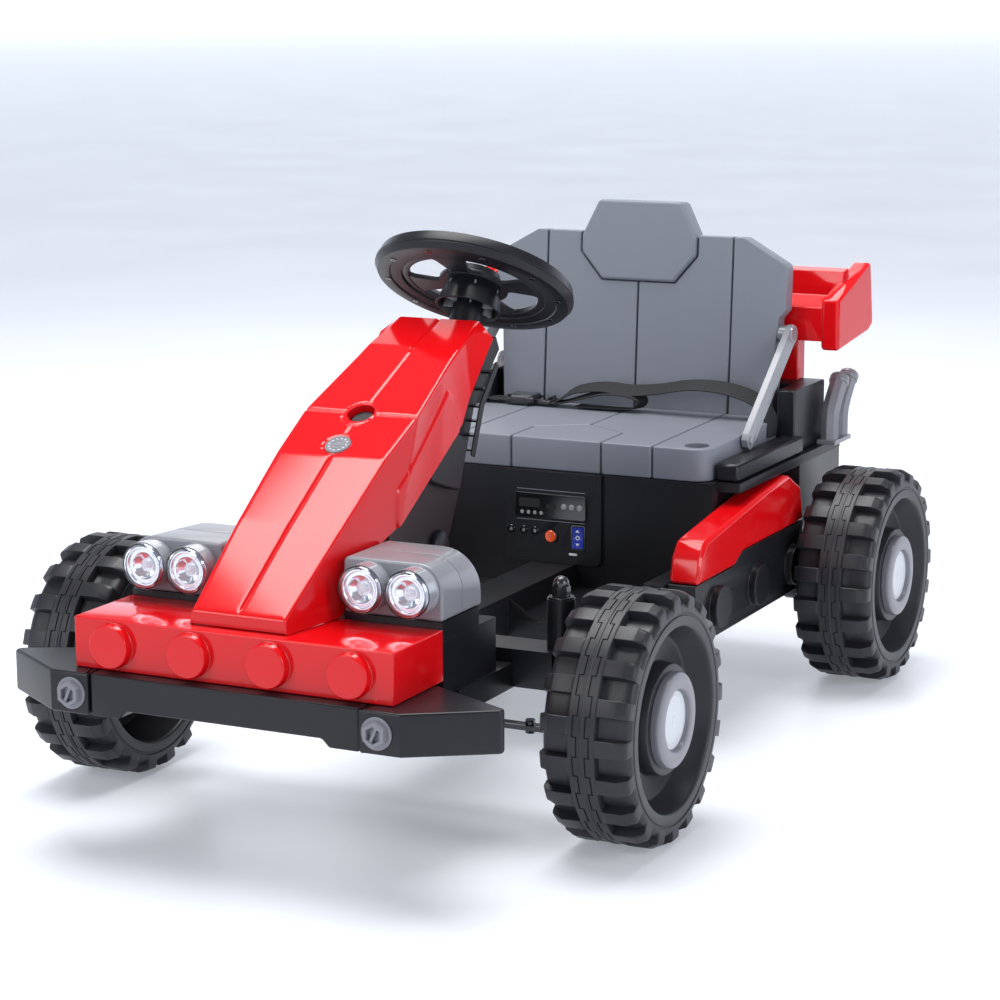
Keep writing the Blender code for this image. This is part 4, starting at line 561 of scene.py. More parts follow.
class Workshop:
    """Puts finished pieces into the scene, each on its CAD body, with one material for each finish."""

    core_smooth: float = 35.0
    bored_smooth: float = 28.0

    def __init__(self, frame: dict) -> None:
        """Keeps the frame and finds how far its axles lie from where the photo's sizes were taken.
        """
        self.frame = frame
        self.materials: dict[str, bpy.types.Material] = {}
        low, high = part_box("wheel_front_left")
        self.shift = np.array([0.0, (low[1] + high[1]) / 2 - FRONT_AXLE_Y, 0.0])
        self.made: list[str] = []

    def material(self, finish: Finish) -> bpy.types.Material:
        """The finish's material, made the first time that it is asked for."""
        if finish.name not in self.materials:
            self.materials[finish.name] = finish.material()
        return self.materials[finish.name]

    def body(self, node: str) -> str:
        """The name of the body that a CAD node rides on."""
        found = body_of(self.frame["nodes"][node])
        return found if isinstance(found, str) else found[0]

    def add(self, name: str, shells: list[Shell], finish: Finish, node: str, stands_in: bool = False,
            smooth: float = 30.0, wall: float = 0.0) -> bpy.types.Object:
        """Makes one piece of closed shells, or of one sheet that gets a wall.

        Args:
            name: the piece's name.
            shells: the surfaces in it, in the measured frame.
            finish: its finish.
            node: the CAD node that it goes with.
            stands_in: the piece replaces the node.
            smooth: edges sharper than this many degrees stay sharp.
            wall: thickness of an open sheet.

        Returns:
            The new object.
        """
        counts = np.cumsum([0] + [len(shell.points) for shell in shells])
        points = np.vstack([shell.points for shell in shells]) + self.shift
        faces = [[n + start for n in face] for shell, start in zip(shells, counts) for face in shell.faces]
        mesh = bpy.data.meshes.new(name)
        mesh.from_pydata(points.tolist(), [], faces)
        if all(shell.chart is not None for shell in shells):
            layer = mesh.uv_layers.new(name="map")
            layer.data.foreach_set("uv", np.vstack([shell.chart for shell in shells]).ravel())
        work = bmesh.new()
        work.from_mesh(mesh)
        bmesh.ops.recalc_face_normals(work, faces=work.faces)
        if wall and sum(face.normal.z for face in work.faces) < 0:
            bmesh.ops.reverse_faces(work, faces=work.faces)
        work.to_mesh(mesh)
        work.free()
        piece = bpy.data.objects.new(name, mesh)
        bpy.context.scene.collection.objects.link(piece)
        if wall:
            modifier = piece.modifiers.new("wall", "SOLIDIFY")
            modifier.thickness = wall
            modifier.offset = -1
        self.finished(piece, finish, node, stands_in, smooth)
        if not wall:
            self.level(mesh, smooth)
        return piece

    @staticmethod
    def level(mesh: bpy.types.Mesh, smooth: float) -> None:
        """Lets each broad flat face shade flat.

        Corners at its points take its normal n where n . c > cos(smooth).

        Args:
            mesh: a mesh with its sharp edges marked.
            smooth: degrees, with c the normal of the corner's own face.
        """
        total, area = np.zeros(len(mesh.polygons), np.int32), np.zeros(len(mesh.polygons), np.float32)
        facing = np.zeros(3 * len(mesh.polygons), np.float32)
        point, corner = np.zeros(len(mesh.loops), np.int32), np.zeros(3 * len(mesh.loops), np.float32)
        mesh.polygons.foreach_get("loop_total", total)
        mesh.polygons.foreach_get("area", area)
        mesh.polygons.foreach_get("normal", facing)
        mesh.loops.foreach_get("vertex_index", point)
        mesh.corner_normals.foreach_get("vector", corner)
        facing, corner = facing.reshape(-1, 3), corner.reshape(-1, 3)
        owner = np.repeat(np.arange(len(total)), total)
        broad = np.flatnonzero(total[owner] > 4)
        if not len(broad):
            return
        broad = broad[np.argsort(area[owner[broad]], kind="stable")]
        chosen = np.zeros((len(mesh.vertices), 3), np.float32)
        chosen[point[broad]] = facing[owner[broad]]
        taken = (facing[owner] * chosen[point]).sum(1) > cos(radians(smooth))
        corner[taken] = chosen[point[taken]]
        mesh.normals_split_custom_set(corner.tolist())

    def bore(self, piece: bpy.types.Object, tool: Shell, finish: Finish, node: str) -> None:
        """Cuts a tool's shape out of a piece and puts the result into the piece's mesh.

        Args:
            piece: the piece, with its wall if it has one.
            tool: the shape to take out, in the measured frame.
            finish: the finish of the cut.
            node: the CAD node of the piece.
        """
        cutter = self.add(piece.name + "_tool", [tool], finish, node, smooth=self.core_smooth)
        modifier = piece.modifiers.new("hole", "BOOLEAN")
        modifier.object = cutter
        modifier.solver = "EXACT"
        solid = bpy.data.meshes.new_from_object(piece.evaluated_get(bpy.context.evaluated_depsgraph_get()))
        piece.modifiers.clear()
        piece.data = solid
        solid.shade_smooth()
        solid.set_sharp_from_angle(angle=radians(self.bored_smooth))
        self.level(solid, self.bored_smooth)
        self.made.remove(cutter.name)
        bpy.data.objects.remove(cutter)

    def finished(self, piece: bpy.types.Object, finish: Finish, node: str, stands_in: bool,
                 smooth: float) -> bpy.types.Object:
        """Shades a piece, gives it its finish and puts it on its node's body.

        Args:
            piece: the object.
            finish: its finish.
            node: the CAD node that it goes with.
            stands_in: the piece replaces the node.
            smooth: edges sharper than this many degrees stay sharp.

        Returns:
            The same object.
        """
        piece.data.materials.clear()
        piece.data.materials.append(self.material(finish))
        piece.data.shade_smooth()
        piece.data.set_sharp_from_angle(angle=radians(smooth))
        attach(piece, self.body(node))
        if stands_in:
            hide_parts(node)
        self.made.append(piece.name)
        log.info("%s: %d faces on %s", piece.name, len(piece.data.polygons), self.body(node))
        return piece

    @staticmethod
    def area(mesh: bpy.types.Mesh) -> float:
        """The area of a mesh as it is filled: the sum of its triangles' areas.

        Args:
            mesh: the mesh.

        Returns:
            Its area.
        """
        mesh.calc_loop_triangles()
        areas = np.zeros(len(mesh.loop_triangles), np.float32)
        mesh.loop_triangles.foreach_get("area", areas)
        return float(areas.sum())

    def soften(self, node: str, finish: Finish, edge: float = 0.0012, name: str = "",
               angle: float = 38.0) -> bpy.types.Object:
        """Puts a copy of a CAD node in its place, with its flat faces joined and its edges rounded.

        Args:
            node: the CAD node.
            finish: its finish.
            edge: radius of the rounded edges.
            name: the piece's name, or the node's with a word for the copy.
            angle: edges flatter than this many degrees stay as they are.

        Returns:
            The new object.
        """
        source = self.frame["nodes"][node]
        mesh = source.data.copy()
        mesh.name = name or node + "_moulded"
        for angle_joined in (0.6, 0.0):
            work = bmesh.new()
            work.from_mesh(source.data)
            bmesh.ops.remove_doubles(work, verts=work.verts, dist=2e-6)
            if angle_joined:
                bmesh.ops.dissolve_limit(work, angle_limit=radians(angle_joined), verts=work.verts,
                                         edges=work.edges)
            work.to_mesh(mesh)
            work.free()
            if abs(self.area(mesh) / self.area(source.data) - 1) < 0.0005:
                break
            log.info("%s keeps its triangles", node)
        piece = bpy.data.objects.new(mesh.name, mesh)
        bpy.context.scene.collection.objects.link(piece)
        self.finished(piece, finish, node, True, 38.0)
        if edge:
            modifier = piece.modifiers.new("edges", "BEVEL")
            modifier.width = edge
            modifier.segments = 2
            modifier.limit_method = "ANGLE"
            modifier.angle_limit = radians(angle)
            modifier.harden_normals = True
            modifier.miter_outer = "MITER_ARC"
        return piece


# Wheels


@dataclass
class Wheels:
    """Four moulded wheels with two rows of lugs, a grooved band between them and a hub disc in the dish."""

    radius: float = 0.1325
    half_width: float = 0.04795
    lugs: int = 20
    lug_depth: float = 0.0110
    dish_depth: float = 0.026
    places: dict[str, tuple[float, float]] = field(default_factory=lambda: {
        "front": (0.31265, FRONT_AXLE_Y), "rear": (0.30745, 0.4323)})
    height: float = 0.1325

    def half_profiles(self) -> tuple[np.ndarray, np.ndarray]:
        """The outline from the bore over the dish, wall and shoulder to the band, as (x, radius).

        Returns:
            The outline through a lug and the one through a gap, point for point.
        """
        h, top = self.half_width, self.radius
        base = top - self.lug_depth
        dish = h - self.dish_depth
        shared = [
            (h - 0.0080, 0.0100), (h - 0.0080, 0.0560), (h - 0.0083, 0.0572), (h - 0.0092, 0.0580),
            (dish + 0.0030, 0.0588), (dish + 0.0010, 0.0594), (dish, 0.0612), (dish, 0.0830),
            (dish + 0.0006, 0.0848), (dish + 0.0022, 0.0860), (h - 0.0045, 0.0958), (h - 0.0016, 0.0968),
            (h - 0.0004, 0.0978), (h, 0.0992), (h, 0.1075), (h - 0.0012, 0.1085), (h - 0.0012, 0.1100),
            (h, 0.1110), (h, 0.1150),
        ]
        lug = [
            (h, 0.1165), (h, 0.1240), (h - 0.0006, 0.1262), (h - 0.0022, 0.1280), (h - 0.0050, 0.1290),
            (0.0368, top - 0.0004), (0.0356, top), (0.0250, top), (0.0160, top), (0.0147, top - 0.0002),
            (0.0143, top - 0.0006), (0.0138, top - 0.0007),
        ]
        gap = [
            (h - 0.0010, 0.1165), (h - 0.0020, 0.1185), (h - 0.0032, base - 0.0020),
            (h - 0.0050, base - 0.0010), (h - 0.0070, base - 0.0004), (0.0368, base), (0.0356, base),
            (0.0250, base), (0.0165, base), (0.0154, base + 0.0008), (0.0145, top - 0.0016),
            (0.0138, top - 0.0007),
        ]
        return np.array(shared + lug), np.array(shared + gap)

    def tread(self) -> Shell:
        """The wheel's moulding about the origin, its axis along x and its face towards +x.

        The grid's first parameter is the angle, 22 stations to a lug's pitch, and the second runs round the
        outline. A point is the gap's outline plus the lug's share times the difference. The share is 1 over
        a lug and falls to 0 across 3 percent of the pitch. The other row is half a pitch on. On the band the
        radius drops 1.3 mm along two square waves.

        Returns:
            The closed shell.
        """
        stations = np.array([-0.232, -0.213, -0.200, -0.1, 0, 0.1, 0.2, 0.213, 0.232, 0.245, 0.255,
                             0.268, 0.287, 0.300, 0.4, 0.5, 0.6, 0.700, 0.713, 0.732, 0.745, 0.755])
        phase = np.tile(stations, self.lugs)
        angle = (phase + np.repeat(np.arange(self.lugs), len(stations))) * 2 * pi / self.lugs
        lug, gap = self.half_profiles()
        band = np.array([0.0120, 0.0099, 0.0096, 0.0084, 0.0081, 0.0054, 0.0051, 0.0039, 0.0036,
                         0.0016, 0.0010])
        rows = []
        for sign, late in ((1, 0.0), (-1, 0.5)):
            away = np.abs((phase - late + 0.5) % 1.0 - 0.5)
            share = np.interp(away, [0.200, 0.213, 0.232], [1.0, 0.95, 0.0])[:, None, None]
            wall = gap[None] + share * (lug - gap)[None]
            outer = away < 0.25
            x = np.broadcast_to(band, (len(phase), len(band)))
            wave = np.where(outer[:, None], (x > 0.0083) & (x < 0.0097), (x > 0.0038) & (x < 0.0052))
            jump = (np.abs(away - 0.25) < 0.007)[:, None] & (x > 0.0038) & (x < 0.0097)
            rib = np.where(x < 0.0012, 0.0, 0.0007)
            level = self.radius - rib - 0.0013 * (wave | jump)
            half = np.concatenate([wall, np.stack([x, level], -1)], 1) * np.array([sign, 1.0])
            rows.append(half if sign > 0 else self.hollowed(half)[:, ::-1])
        outline = np.concatenate(rows, 1)
        around = np.stack([np.cos(angle), np.sin(angle)], -1)[:, None]
        points = np.concatenate([outline[..., :1], outline[..., 1:] * around], -1)
        return ringed(points, True)

    def hollowed(self, half: np.ndarray) -> np.ndarray:
        """The inner half's outline with its dish deepened to the web.

        The x and radius of the boss's and the dish's points are set anew.

        Args:
            half: outline points, bore first.

        Returns:
            The changed copy.
        """
        changed = half.copy()
        web = self.half_width - self.dish_depth - 0.012
        face = -(self.half_width - 0.008)
        changed[:, :13] = np.array([
            (face, 0.0100), (face, 0.0225), (face + 0.0004, 0.0235), (face + 0.0014, 0.0240),
            (web - 0.0060, 0.0560), (web - 0.0020, 0.0580), (web, 0.0610), (web, 0.0880),
            (web - 0.0006, 0.0900), (web - 0.0022, 0.0912), (-self.half_width + 0.0045, 0.0962),
            (-self.half_width + 0.0016, 0.0968), (-self.half_width + 0.0004, 0.0978)])
        return changed

    def hub(self) -> dict[str, Shell]:
        """The hub about the wheel's centre: a rounded grey ring, and a pale rimmed disc down in it.

        Returns:
            Both shells, under the first words of their pieces' names.
        """
        face = self.half_width - 0.0077
        top = face + 0.0097
        ring = [
            (0.0, top - 0.0056), (0.0308, top - 0.0056), (0.0316, top - 0.0050), (0.0328, top - 0.0012),
            (0.0338, top - 0.0003), (0.0352, top), (0.0440, top - 0.0001), (0.0474, top - 0.0008),
            (0.0492, top - 0.0020), (0.0499, top - 0.0036), (0.0500, top - 0.0050),
            (0.0500, face), (0.0, face),
        ]
        disc = [
            (0.0, top - 0.0048), (0.0040, top - 0.0048), (0.0044, top - 0.0052), (0.0236, top - 0.0052),
            (0.0242, top - 0.0046), (0.0262, top - 0.0046), (0.0268, top - 0.0052), (0.0300, top - 0.0052),
            (0.0303, top - 0.0058), (0.0, top - 0.0058),
        ]
        return {"hub_ring_": turned(ring, CENTRE, LEFTWARD, 96),
                "hub_disc_": turned(disc, CENTRE, LEFTWARD, 72)}

    def build(self, shop: Workshop) -> None:
        """Makes the four wheels and hubs at their axles.

        Args:
            shop: where the pieces go.
        """
        tread = self.tread()
        for end, (x, y) in self.places.items():
            for side in Side:
                centre = np.array([x * side.value, y, self.height])
                facing = np.diag([float(side.value), 1.0, 1.0])
                place = f"{end}_{side.tag}"
                shop.add("tyre_" + place, [tread.placed(facing, centre)], TREAD_CHARCOAL,
                         "wheel_" + place, True, 40)
                for (name, shell), finish in zip(self.hub().items(), (HUB_GREY, DISC_PALE)):
                    shop.add(name + place, [shell.placed(facing, centre)], finish, "hub_" + place,
                             finish is HUB_GREY, 30)


# Hood


@dataclass
class Hood:
    """The red shell over the steering column, with its grooves, bolt hole, bolt and badge."""

    rows: np.ndarray = field(default_factory=lambda: np.array([
        [(-0.5620, 0.2490, 0.0550), (-0.5620, 0.2480, 0.0560)],
        [(-0.5620, 0.2624, 0.0535), (-0.5620, 0.2480, 0.0560)],
        [(-0.4600, 0.3340, 0.0605), (-0.4735, 0.2484, 0.0680)],
        [(-0.3723, 0.3917, 0.0640), (-0.3927, 0.3078, 0.0690)],
        [(-0.3070, 0.4260, 0.0674), (-0.3570, 0.3204, 0.0715)],
        [(-0.2100, 0.4712, 0.0570), (-0.2122, 0.4040, 0.0715)],
        [(-0.1885, 0.4810, 0.0555), (-0.1935, 0.4300, 0.0710)],
        [(-0.1265, 0.5044, 0.0485), (-0.1335, 0.4880, 0.0700)],
    ]))
    stations: tuple[int, ...] = (8, 42, 38, 56, 56, 10, 34)
    wall: float = 0.003
    fillet: float = 0.0032
    hole_y: float = -0.3074
    hole_radius: float = 0.015
    badge_y: float = -0.357
    step_line: tuple = ((-0.362, 0.326), (-0.356, 0.357), (-0.230, 0.4415), (-0.2215, 0.4340))

    def along(self) -> np.ndarray:
        """Row numbers of the stations from the front lip to the rear end, as fractions."""
        pieces = [np.linspace(i, i + 1, count, endpoint=False) for i, count in enumerate(self.stations)]
        return np.concatenate(pieces + [[float(len(self.stations))]])

    def at(self, share: np.ndarray) -> np.ndarray:
        """Ridge and edge points at fractions of the rows.

        They lie on straight lines between the rows, averaged over 0.035 of a row to each side.

        Args:
            share: fractions of the rows.

        Returns:
            Array of fractions, (ridge, edge) and (y, z, half width).
        """
        flat = self.rows.reshape(len(self.rows), -1)
        numbers = np.arange(len(self.rows))
        spread = np.clip(share[:, None] + np.linspace(-0.035, 0.035, 7)[None], 0, numbers[-1])
        columns = [np.interp(spread, numbers, flat[:, k]).mean(1) for k in range(flat.shape[1])]
        return np.stack(columns, -1).reshape(-1, 2, 3)

    def line(self, y: float) -> tuple[np.ndarray, np.ndarray]:
        """The point of the top's middle at y, and the top's normal there.

        Args:
            y: the place along the hood.

        Returns:
            The point and the unit normal.
        """
        share = np.array([np.interp(y, self.rows[1:, 0, 0], np.arange(1, len(self.rows)))])
        (y0, z0), (y1, z1) = self.at(share - 0.05)[0, 0, :2], self.at(share + 0.05)[0, 0, :2]
        middle = self.at(share)[0, 0]
        normal = unit(np.array([0.0, -(z1 - z0), y1 - y0]))
        return np.array([0.0, middle[0], middle[1]]), normal

    def skin(self) -> Shell:
        """The outer skin as a grid of stations along the hood and points across it.

        Across, a half is a straight side, a rounded ridge, which is a curve of two tangents, and a flat top.
        The height of grooves and steps is then added along the surface's own normal.

        Returns:
            The open sheet.
        """
        share = self.along()
        rows = self.at(share)
        ridge = np.stack([rows[:, 0, 2], rows[:, 0, 0], rows[:, 0, 1]], -1)
        edge = np.stack([rows[:, 1, 2], rows[:, 1, 0], rows[:, 1, 1]], -1)
        centre = ridge * np.array([0.0, 1.0, 1.0])
        down, inward = unit(edge - ridge), unit(centre - ridge)
        reach = np.minimum(self.fillet, 0.4 * np.linalg.norm(edge - ridge, axis=-1))[:, None]
        t = np.linspace(0, 1, 6)[None, :, None]
        start, end = ridge + down * reach, ridge + inward * reach
        bend = (1 - t) ** 2 * start[:, None] + 2 * t * (1 - t) * ridge[:, None] + t**2 * end[:, None]
        drop = np.linspace(0, 1, 36, endpoint=False)[None, :, None]
        side = edge[:, None] + drop * (start - edge)[:, None]
        spans = np.concatenate([np.linspace(1, 0.085, 22)[1:],
                                [0.060, 0.042, 0.028, 0.014, 0.0]])[None, :, None]
        top = centre[:, None] + spans * (end - centre)[:, None]
        half = np.concatenate([side, bend, top], 1)
        other = half[:, -2::-1] * np.array([-1.0, 1.0, 1.0])
        points = np.concatenate([half, other], 1)
        along, across = np.gradient(points, axis=0), np.gradient(points, axis=1)
        normal = unit(np.cross(across, along))
        normal *= np.sign(normal[:, points.shape[1] // 2, 2])[:, None, None]
        points = points + normal * self.relief(points, share, half.shape[1], side.shape[1])[..., None]
        return Shell(points.reshape(-1, 3), quads(*points.shape[:2]))

    def relief(self, points: np.ndarray, share: np.ndarray, half: int, side: int) -> np.ndarray:
        """How far each point stands off the plain surface.

        A groove is depth times a bell, exp(-(distance / width)^2). The side's raised panel is a smooth step
        of the distance to its line.

        Args:
            points: the plain grid.
            share: fraction of the rows of each station.
            half: points in a half's row.
            side: points of those on the side.

        Returns:
            The height of each point.
        """
        column = np.arange(points.shape[1])
        mirror = np.minimum(column, points.shape[1] - 1 - column)[None]
        on_side = (mirror < side).astype(float)
        x, y, z = points[..., 0], points[..., 1], points[..., 2]
        bell = np.exp(-((x / 0.0016) ** 2)) * (1 - on_side)
        level = np.interp(y, [-0.558, -0.555, -0.376, -0.373, -0.340, -0.337, -0.330, -0.327, -0.287, -0.284,
                              -0.200, -0.196, -0.193, -0.128],
                          [0, -0.0022, -0.0022, 0, 0, -0.0012, -0.0012, 0, 0, 0.0009, 0.0009, 0,
                           -0.0016, -0.0016])
        height = bell * level
        cross = np.exp(-(((share[:, None] - 4.0) / 0.022) ** 2)) * (np.hypot(x, y - self.hole_y) > 0.017)
        height = height - 0.0013 * cross * (mirror > side * 0.45)
        hole = np.exp(-(((np.hypot(x, y - self.hole_y) - 0.0185) / 0.0012) ** 2)) * (1 - on_side)
        height = height - 0.0009 * hole
        badge = np.exp(-(((np.hypot(x, (y - self.badge_y) * 1.12) - 0.0155) / 0.0010) ** 2)) * (1 - on_side)
        height = height - 0.0008 * badge
        corner = np.array(self.step_line)
        first, second = corner[:-1], corner[1:]
        leg = second - first
        from_first = np.stack([y, z], -1)[..., None, :] - first
        t = np.clip((from_first * leg).sum(-1) / (leg**2).sum(-1), 0, 1)
        away = np.linalg.norm(from_first - t[..., None] * leg, axis=-1).min(-1)
        line_z = np.interp(y, corner[:, 0], corner[:, 1], left=-1, right=-1)
        inside = np.where((z < line_z) & (y > corner[0, 0]), 1.0, -1.0)
        step = np.clip(0.5 + inside * away / 0.0036, 0, 1)
        return height + 0.0022 * step * step * (3 - 2 * step) * on_side

    def build(self, shop: Workshop) -> None:
        """Makes the hood with its hole cut, the bolt down in it, and the badge.

        Args:
            shop: where the pieces go.
        """
        piece = shop.add("hood_shell", [self.skin()], RED_GLOSS, "hood", True, 28, self.wall)
        point, normal = self.line(self.hole_y)
        tool = turned([(self.hole_radius, -0.02), (self.hole_radius, 0.02)], tuple(point), tuple(normal), 48)
        shop.bore(piece, tool, RED_GLOSS, "hood")
        self.bolt_and_badge(shop)

    def bolt_and_badge(self, shop: Workshop) -> None:
        """Makes the hex bolt in the hole and the ringed badge with its dots.

        Args:
            shop: where the pieces go.
        """
        point, normal = self.line(self.hole_y)
        seat = point - normal * (self.wall + 0.004 + 0.0065)
        head = turned([(0, 0), (0.0100, 0), (0.0105, 0.0008), (0.0105, 0.0054), (0.0094, 0.0062),
                       (0.0068, 0.0062), (0.0062, 0.0056), (0.0, 0.0056)], tuple(seat), tuple(normal), 6)
        washer = turned([(0.0, -0.0012), (0.0136, -0.0012), (0.0140, -0.0008), (0.0140, 0.0001), (0, 0.0002)],
                        tuple(seat), tuple(normal), 40)
        shop.add("hood_bolt_head", [head], HUB_GREY, "hood_bolt", True)
        # The washer's flat black is painted shade down in the hole.
        shop.add("hood_bolt_washer", [washer], SHADOW_BLACK, "hood_bolt", smooth=shop.core_smooth)
        sleeve = turned([(0.0150, -0.0185), (0.0166, -0.0185), (0.0166, -0.0022), (0.0150, -0.0022)],
                        tuple(point), tuple(normal), 48, True)
        shop.add("hood_hole_sleeve", [sleeve], RED_GLOSS, "hood")
        point, normal = self.line(self.badge_y)
        rim = turned([(0, -0.002), (0.0140, -0.002), (0.0140, 0.0008), (0.0134, 0.0014), (0.0124, 0.0014),
                      (0.0120, 0.0008), (0.0078, 0.0008), (0.0075, 0.0013), (0.0062, 0.0013),
                      (0.0059, 0.0008), (0.0034, 0.0008), (0.0030, 0.0014), (0.0, 0.0016)], tuple(point),
                     tuple(normal), 56)
        across, up, _ = frame_on(tuple(normal))
        dots = [turned([(0, 0.0004), (0.0011, 0.0006), (0.0009, 0.0013), (0.0, 0.0015)],
                       tuple(point + 0.0099 * (cos(a) * across + sin(a) * up)), tuple(normal), 10)
                for a in np.linspace(0, 2 * pi, 12, endpoint=False)]
        shop.add("badge_disc", [rim], HUB_GREY, "hood_badge", True)
        shop.add("badge_dots", dots, DISC_PALE, "hood_badge")


# Seat and belt


@dataclass
class Seat:
    """Base and back as raised panels over a dark core, with struts, belt and buckle.

    The core's dark colour is painted shade in the grooves between the panels.
    """

    half_width: float = 0.199
    front_y: float = 0.174
    back_y: float = 0.4098
    bottom: float = 0.2823
    top: float = 0.3215
    rise: float = 0.01484
    groove_x: float = 0.1270
    gap: float = 0.0011
    foot: tuple[float, float] = (0.4104, 0.2847)
    lean: float = 3.93
    thickness: float = 0.029
    seam_x: float = 0.1285
    cup: tuple[float, float] = (0.175, 0.199)

    def base_outlines(self) -> list[np.ndarray]:
        """Outlines in plan of the base's five panels.

        Returns:
            Counterclockwise points of each.
        """
        g, f, b, s, w = self.gap, self.front_y, self.back_y, self.groove_x, self.half_width
        outer = eased([(s + g, f), (w, f), (w, b), (s + g, b)], [0.003, 0.020, 0.004, 0.0022])
        inner = eased([(0.060 + g, f), (s - g, f), (s - g, b), (g, b), (g, 0.2795), (0.060 + g, 0.2420)],
                      [0.003, 0.003, 0.0022, 0.0022, 0.0022, 0.0022])
        centre = eased([(-0.060 + g, f), (0.060 - g, f), (0.060 - g, 0.2410), (0, 0.2780),
                        (-0.060 + g, 0.2410)],
                       [0.003, 0.003, 0.0022, 0.0022, 0.0022])
        flip = np.array([-1.0, 1.0])
        return [outer, inner, centre, (inner * flip)[::-1], (outer * flip)[::-1]]

    def build_base(self, shop: Workshop) -> None:
        """Makes the base: five rounded panels, a core below the grooves and the round hole's cup.

        The core's dark colour is painted shade in the grooves between the panels.

        Args:
            shop: where the pieces go.
        """
        panels = [slab(outline, Plane.PLAN, self.bottom, self.top, 0.0019, 4).sloped(self.rise, self.front_y)
                  for outline in self.base_outlines()]
        piece = shop.add("seat_base_panels", panels, SEAT_MATT, "seat_base", True, 32)
        hole = (*self.cup, self.top - 0.014)
        shop.bore(piece, turned([(0.015, 0.0), (0.015, 0.03)], hole, UPWARD, 48), SEAT_MATT, "seat_base")
        # The core's dark colour is painted shade in the grooves between the panels.
        core = rectangle((-0.1965, 0.1765), (0.1965, 0.4085), 0.016)
        solid = slab(core, Plane.PLAN, self.bottom, self.top - 0.0032, 0.001).sloped(self.rise, self.front_y)
        piece = shop.add("seat_base_core", [solid], SEAT_GROOVE_SHADE, "seat_base", smooth=shop.core_smooth)
        shop.bore(piece, turned([(0.0165, -0.004), (0.0165, 0.03)], hole, UPWARD, 48), SEAT_GROOVE_SHADE, "seat_base")

    def leaned(self, shell: Shell) -> Shell:
        """A shell put on the leaning plane of the back: turned about x by the lean, and moved to the foot.

        Args:
            shell: drawn as (x, thickness, length up the back).

        Returns:
            The shell in its place.
        """
        a = radians(self.lean)
        turn = np.array([[1.0, 0, 0], [0, cos(a), sin(a)], [0, -sin(a), cos(a)]])
        return shell.placed(turn, np.array([0.0, *self.foot]))

    def up_back(self, height: float) -> float:
        """A height over the floor as a length up the leaning back: (height - foot) / cos(lean)."""
        return (height - self.foot[1]) * (1 / cos(radians(self.lean)))

    def back_outline(self) -> list[tuple[float, float]]:
        """Corners of the back's core and rear cover.

        Returns:
            The corners as (x, length up the back).
        """
        s = self.up_back
        half = [(0.184, 0.003), (0.1898, s(0.4475)), (0.1985, s(0.4580)), (0.1985, s(0.5135)),
                (0.1424, s(0.5450)), (0.0765, s(0.5450)), (0.0540, s(0.5860))]
        return half + [(-x, z) for x, z in half[::-1]]

    def back_cover(self) -> list[Shell]:
        """The cover behind: a rimmed plate, three cross ribs, six upright ribs and four screw bosses.

        Returns:
            The closed shells, not yet leaned.
        """
        s, rear, deep = self.up_back, self.thickness - 0.0040, self.thickness
        cover = [slab(eased(self.back_outline(), 0.006), Plane.FRONT, 0.018, rear, 0.0016)]
        for reach, low, high in ((0.168, 0.304, 0.309), (0.176, 0.404, 0.409), (0.150, 0.494, 0.499)):
            cover.append(block((-reach, rear - 0.002, s(low)), (reach, deep, s(high)), 0.0012, 0.0010,
                               Plane.FRONT))
        for x in (-0.165, -0.100, -0.035, 0.035, 0.100, 0.165):
            cover.append(block((x - 0.002, rear - 0.002, s(0.306)),
                               (x + 0.002, deep - 0.0004, s(0.497)), 0.0008, 0.0010, Plane.FRONT))
        boss = [(0, rear - 0.002), (0.0085, rear - 0.002), (0.0085, deep - 0.0008), (0.0077, deep),
                (0.0050, deep), (0.0046, deep - 0.0020), (0, deep - 0.0020)]
        return cover + [turned(boss, (x, 0, s(z)), BACKWARD, 32) for x in (-0.132, 0.132)
                        for z in (0.330, 0.455)]

    def build_back(self, shop: Workshop) -> None:
        """Makes the back: four panels and the raised head panel, a core, and the ribbed cover behind.

        The core's dark colour is painted shade in the grooves between the panels.

        Args:
            shop: where the pieces go.
        """
        s, g, w = self.up_back, self.gap, self.seam_x
        outer = eased([(w + g, 0.001), (0.186, 0.001), (0.192, s(0.448)), (0.201, s(0.459)),
                       (0.201, s(0.515)), (0.143, s(0.5475)), (w + g, s(0.5475))],
                      [0.0022, 0.004, 0.003, 0.006, 0.008, 0.006, 0.0022])
        inner = eased([(g, 0.001), (w - g, 0.001), (w - g, s(0.5475)), (0.0790, s(0.5475)),
                       (0.0812, s(0.543)), (0.0812, s(0.5210)), (0.0508, s(0.4855)), (g, s(0.4855))],
                      [0.0022, 0.0022, 0.0022, 0.0022, 0.0, 0.0022, 0.0022, 0.0022])
        half = [(0.0565, s(0.5885)), (0.079, s(0.543)), (0.079, s(0.5215)), (0.0495, s(0.487))]
        head = eased(half + [(-x, z) for x, z in half[::-1]],
                     [0.008, 0.008, 0.008, 0.006, 0.006, 0.008, 0.008, 0.008])
        flip = np.array([-1.0, 1.0])
        panels = [slab(line, Plane.FRONT, 0.0, self.thickness - 0.004, 0.0019, 4)
                  for line in (outer, inner, (inner * flip)[::-1], (outer * flip)[::-1])]
        panels.append(slab(head, Plane.FRONT, -0.004, self.thickness, 0.0040, 4))
        # The core's dark colour is painted shade in the grooves between the panels.
        core = slab(eased(self.back_outline(), 0.004), Plane.FRONT, 0.004, self.thickness - 0.0005, 0.002)
        for name, shells, finish, stands_in, smooth in (
            ("seat_back_panels", panels, SEAT_MATT, True, 32),
            ("seat_back_core", [core], SEAT_GROOVE_SHADE, False, shop.core_smooth),
            ("seat_back_rear", self.back_cover(), SEAT_MATT, False, 32),
        ):
            shop.add(name, [self.leaned(shell) for shell in shells], finish, "seat_back", stands_in, smooth)

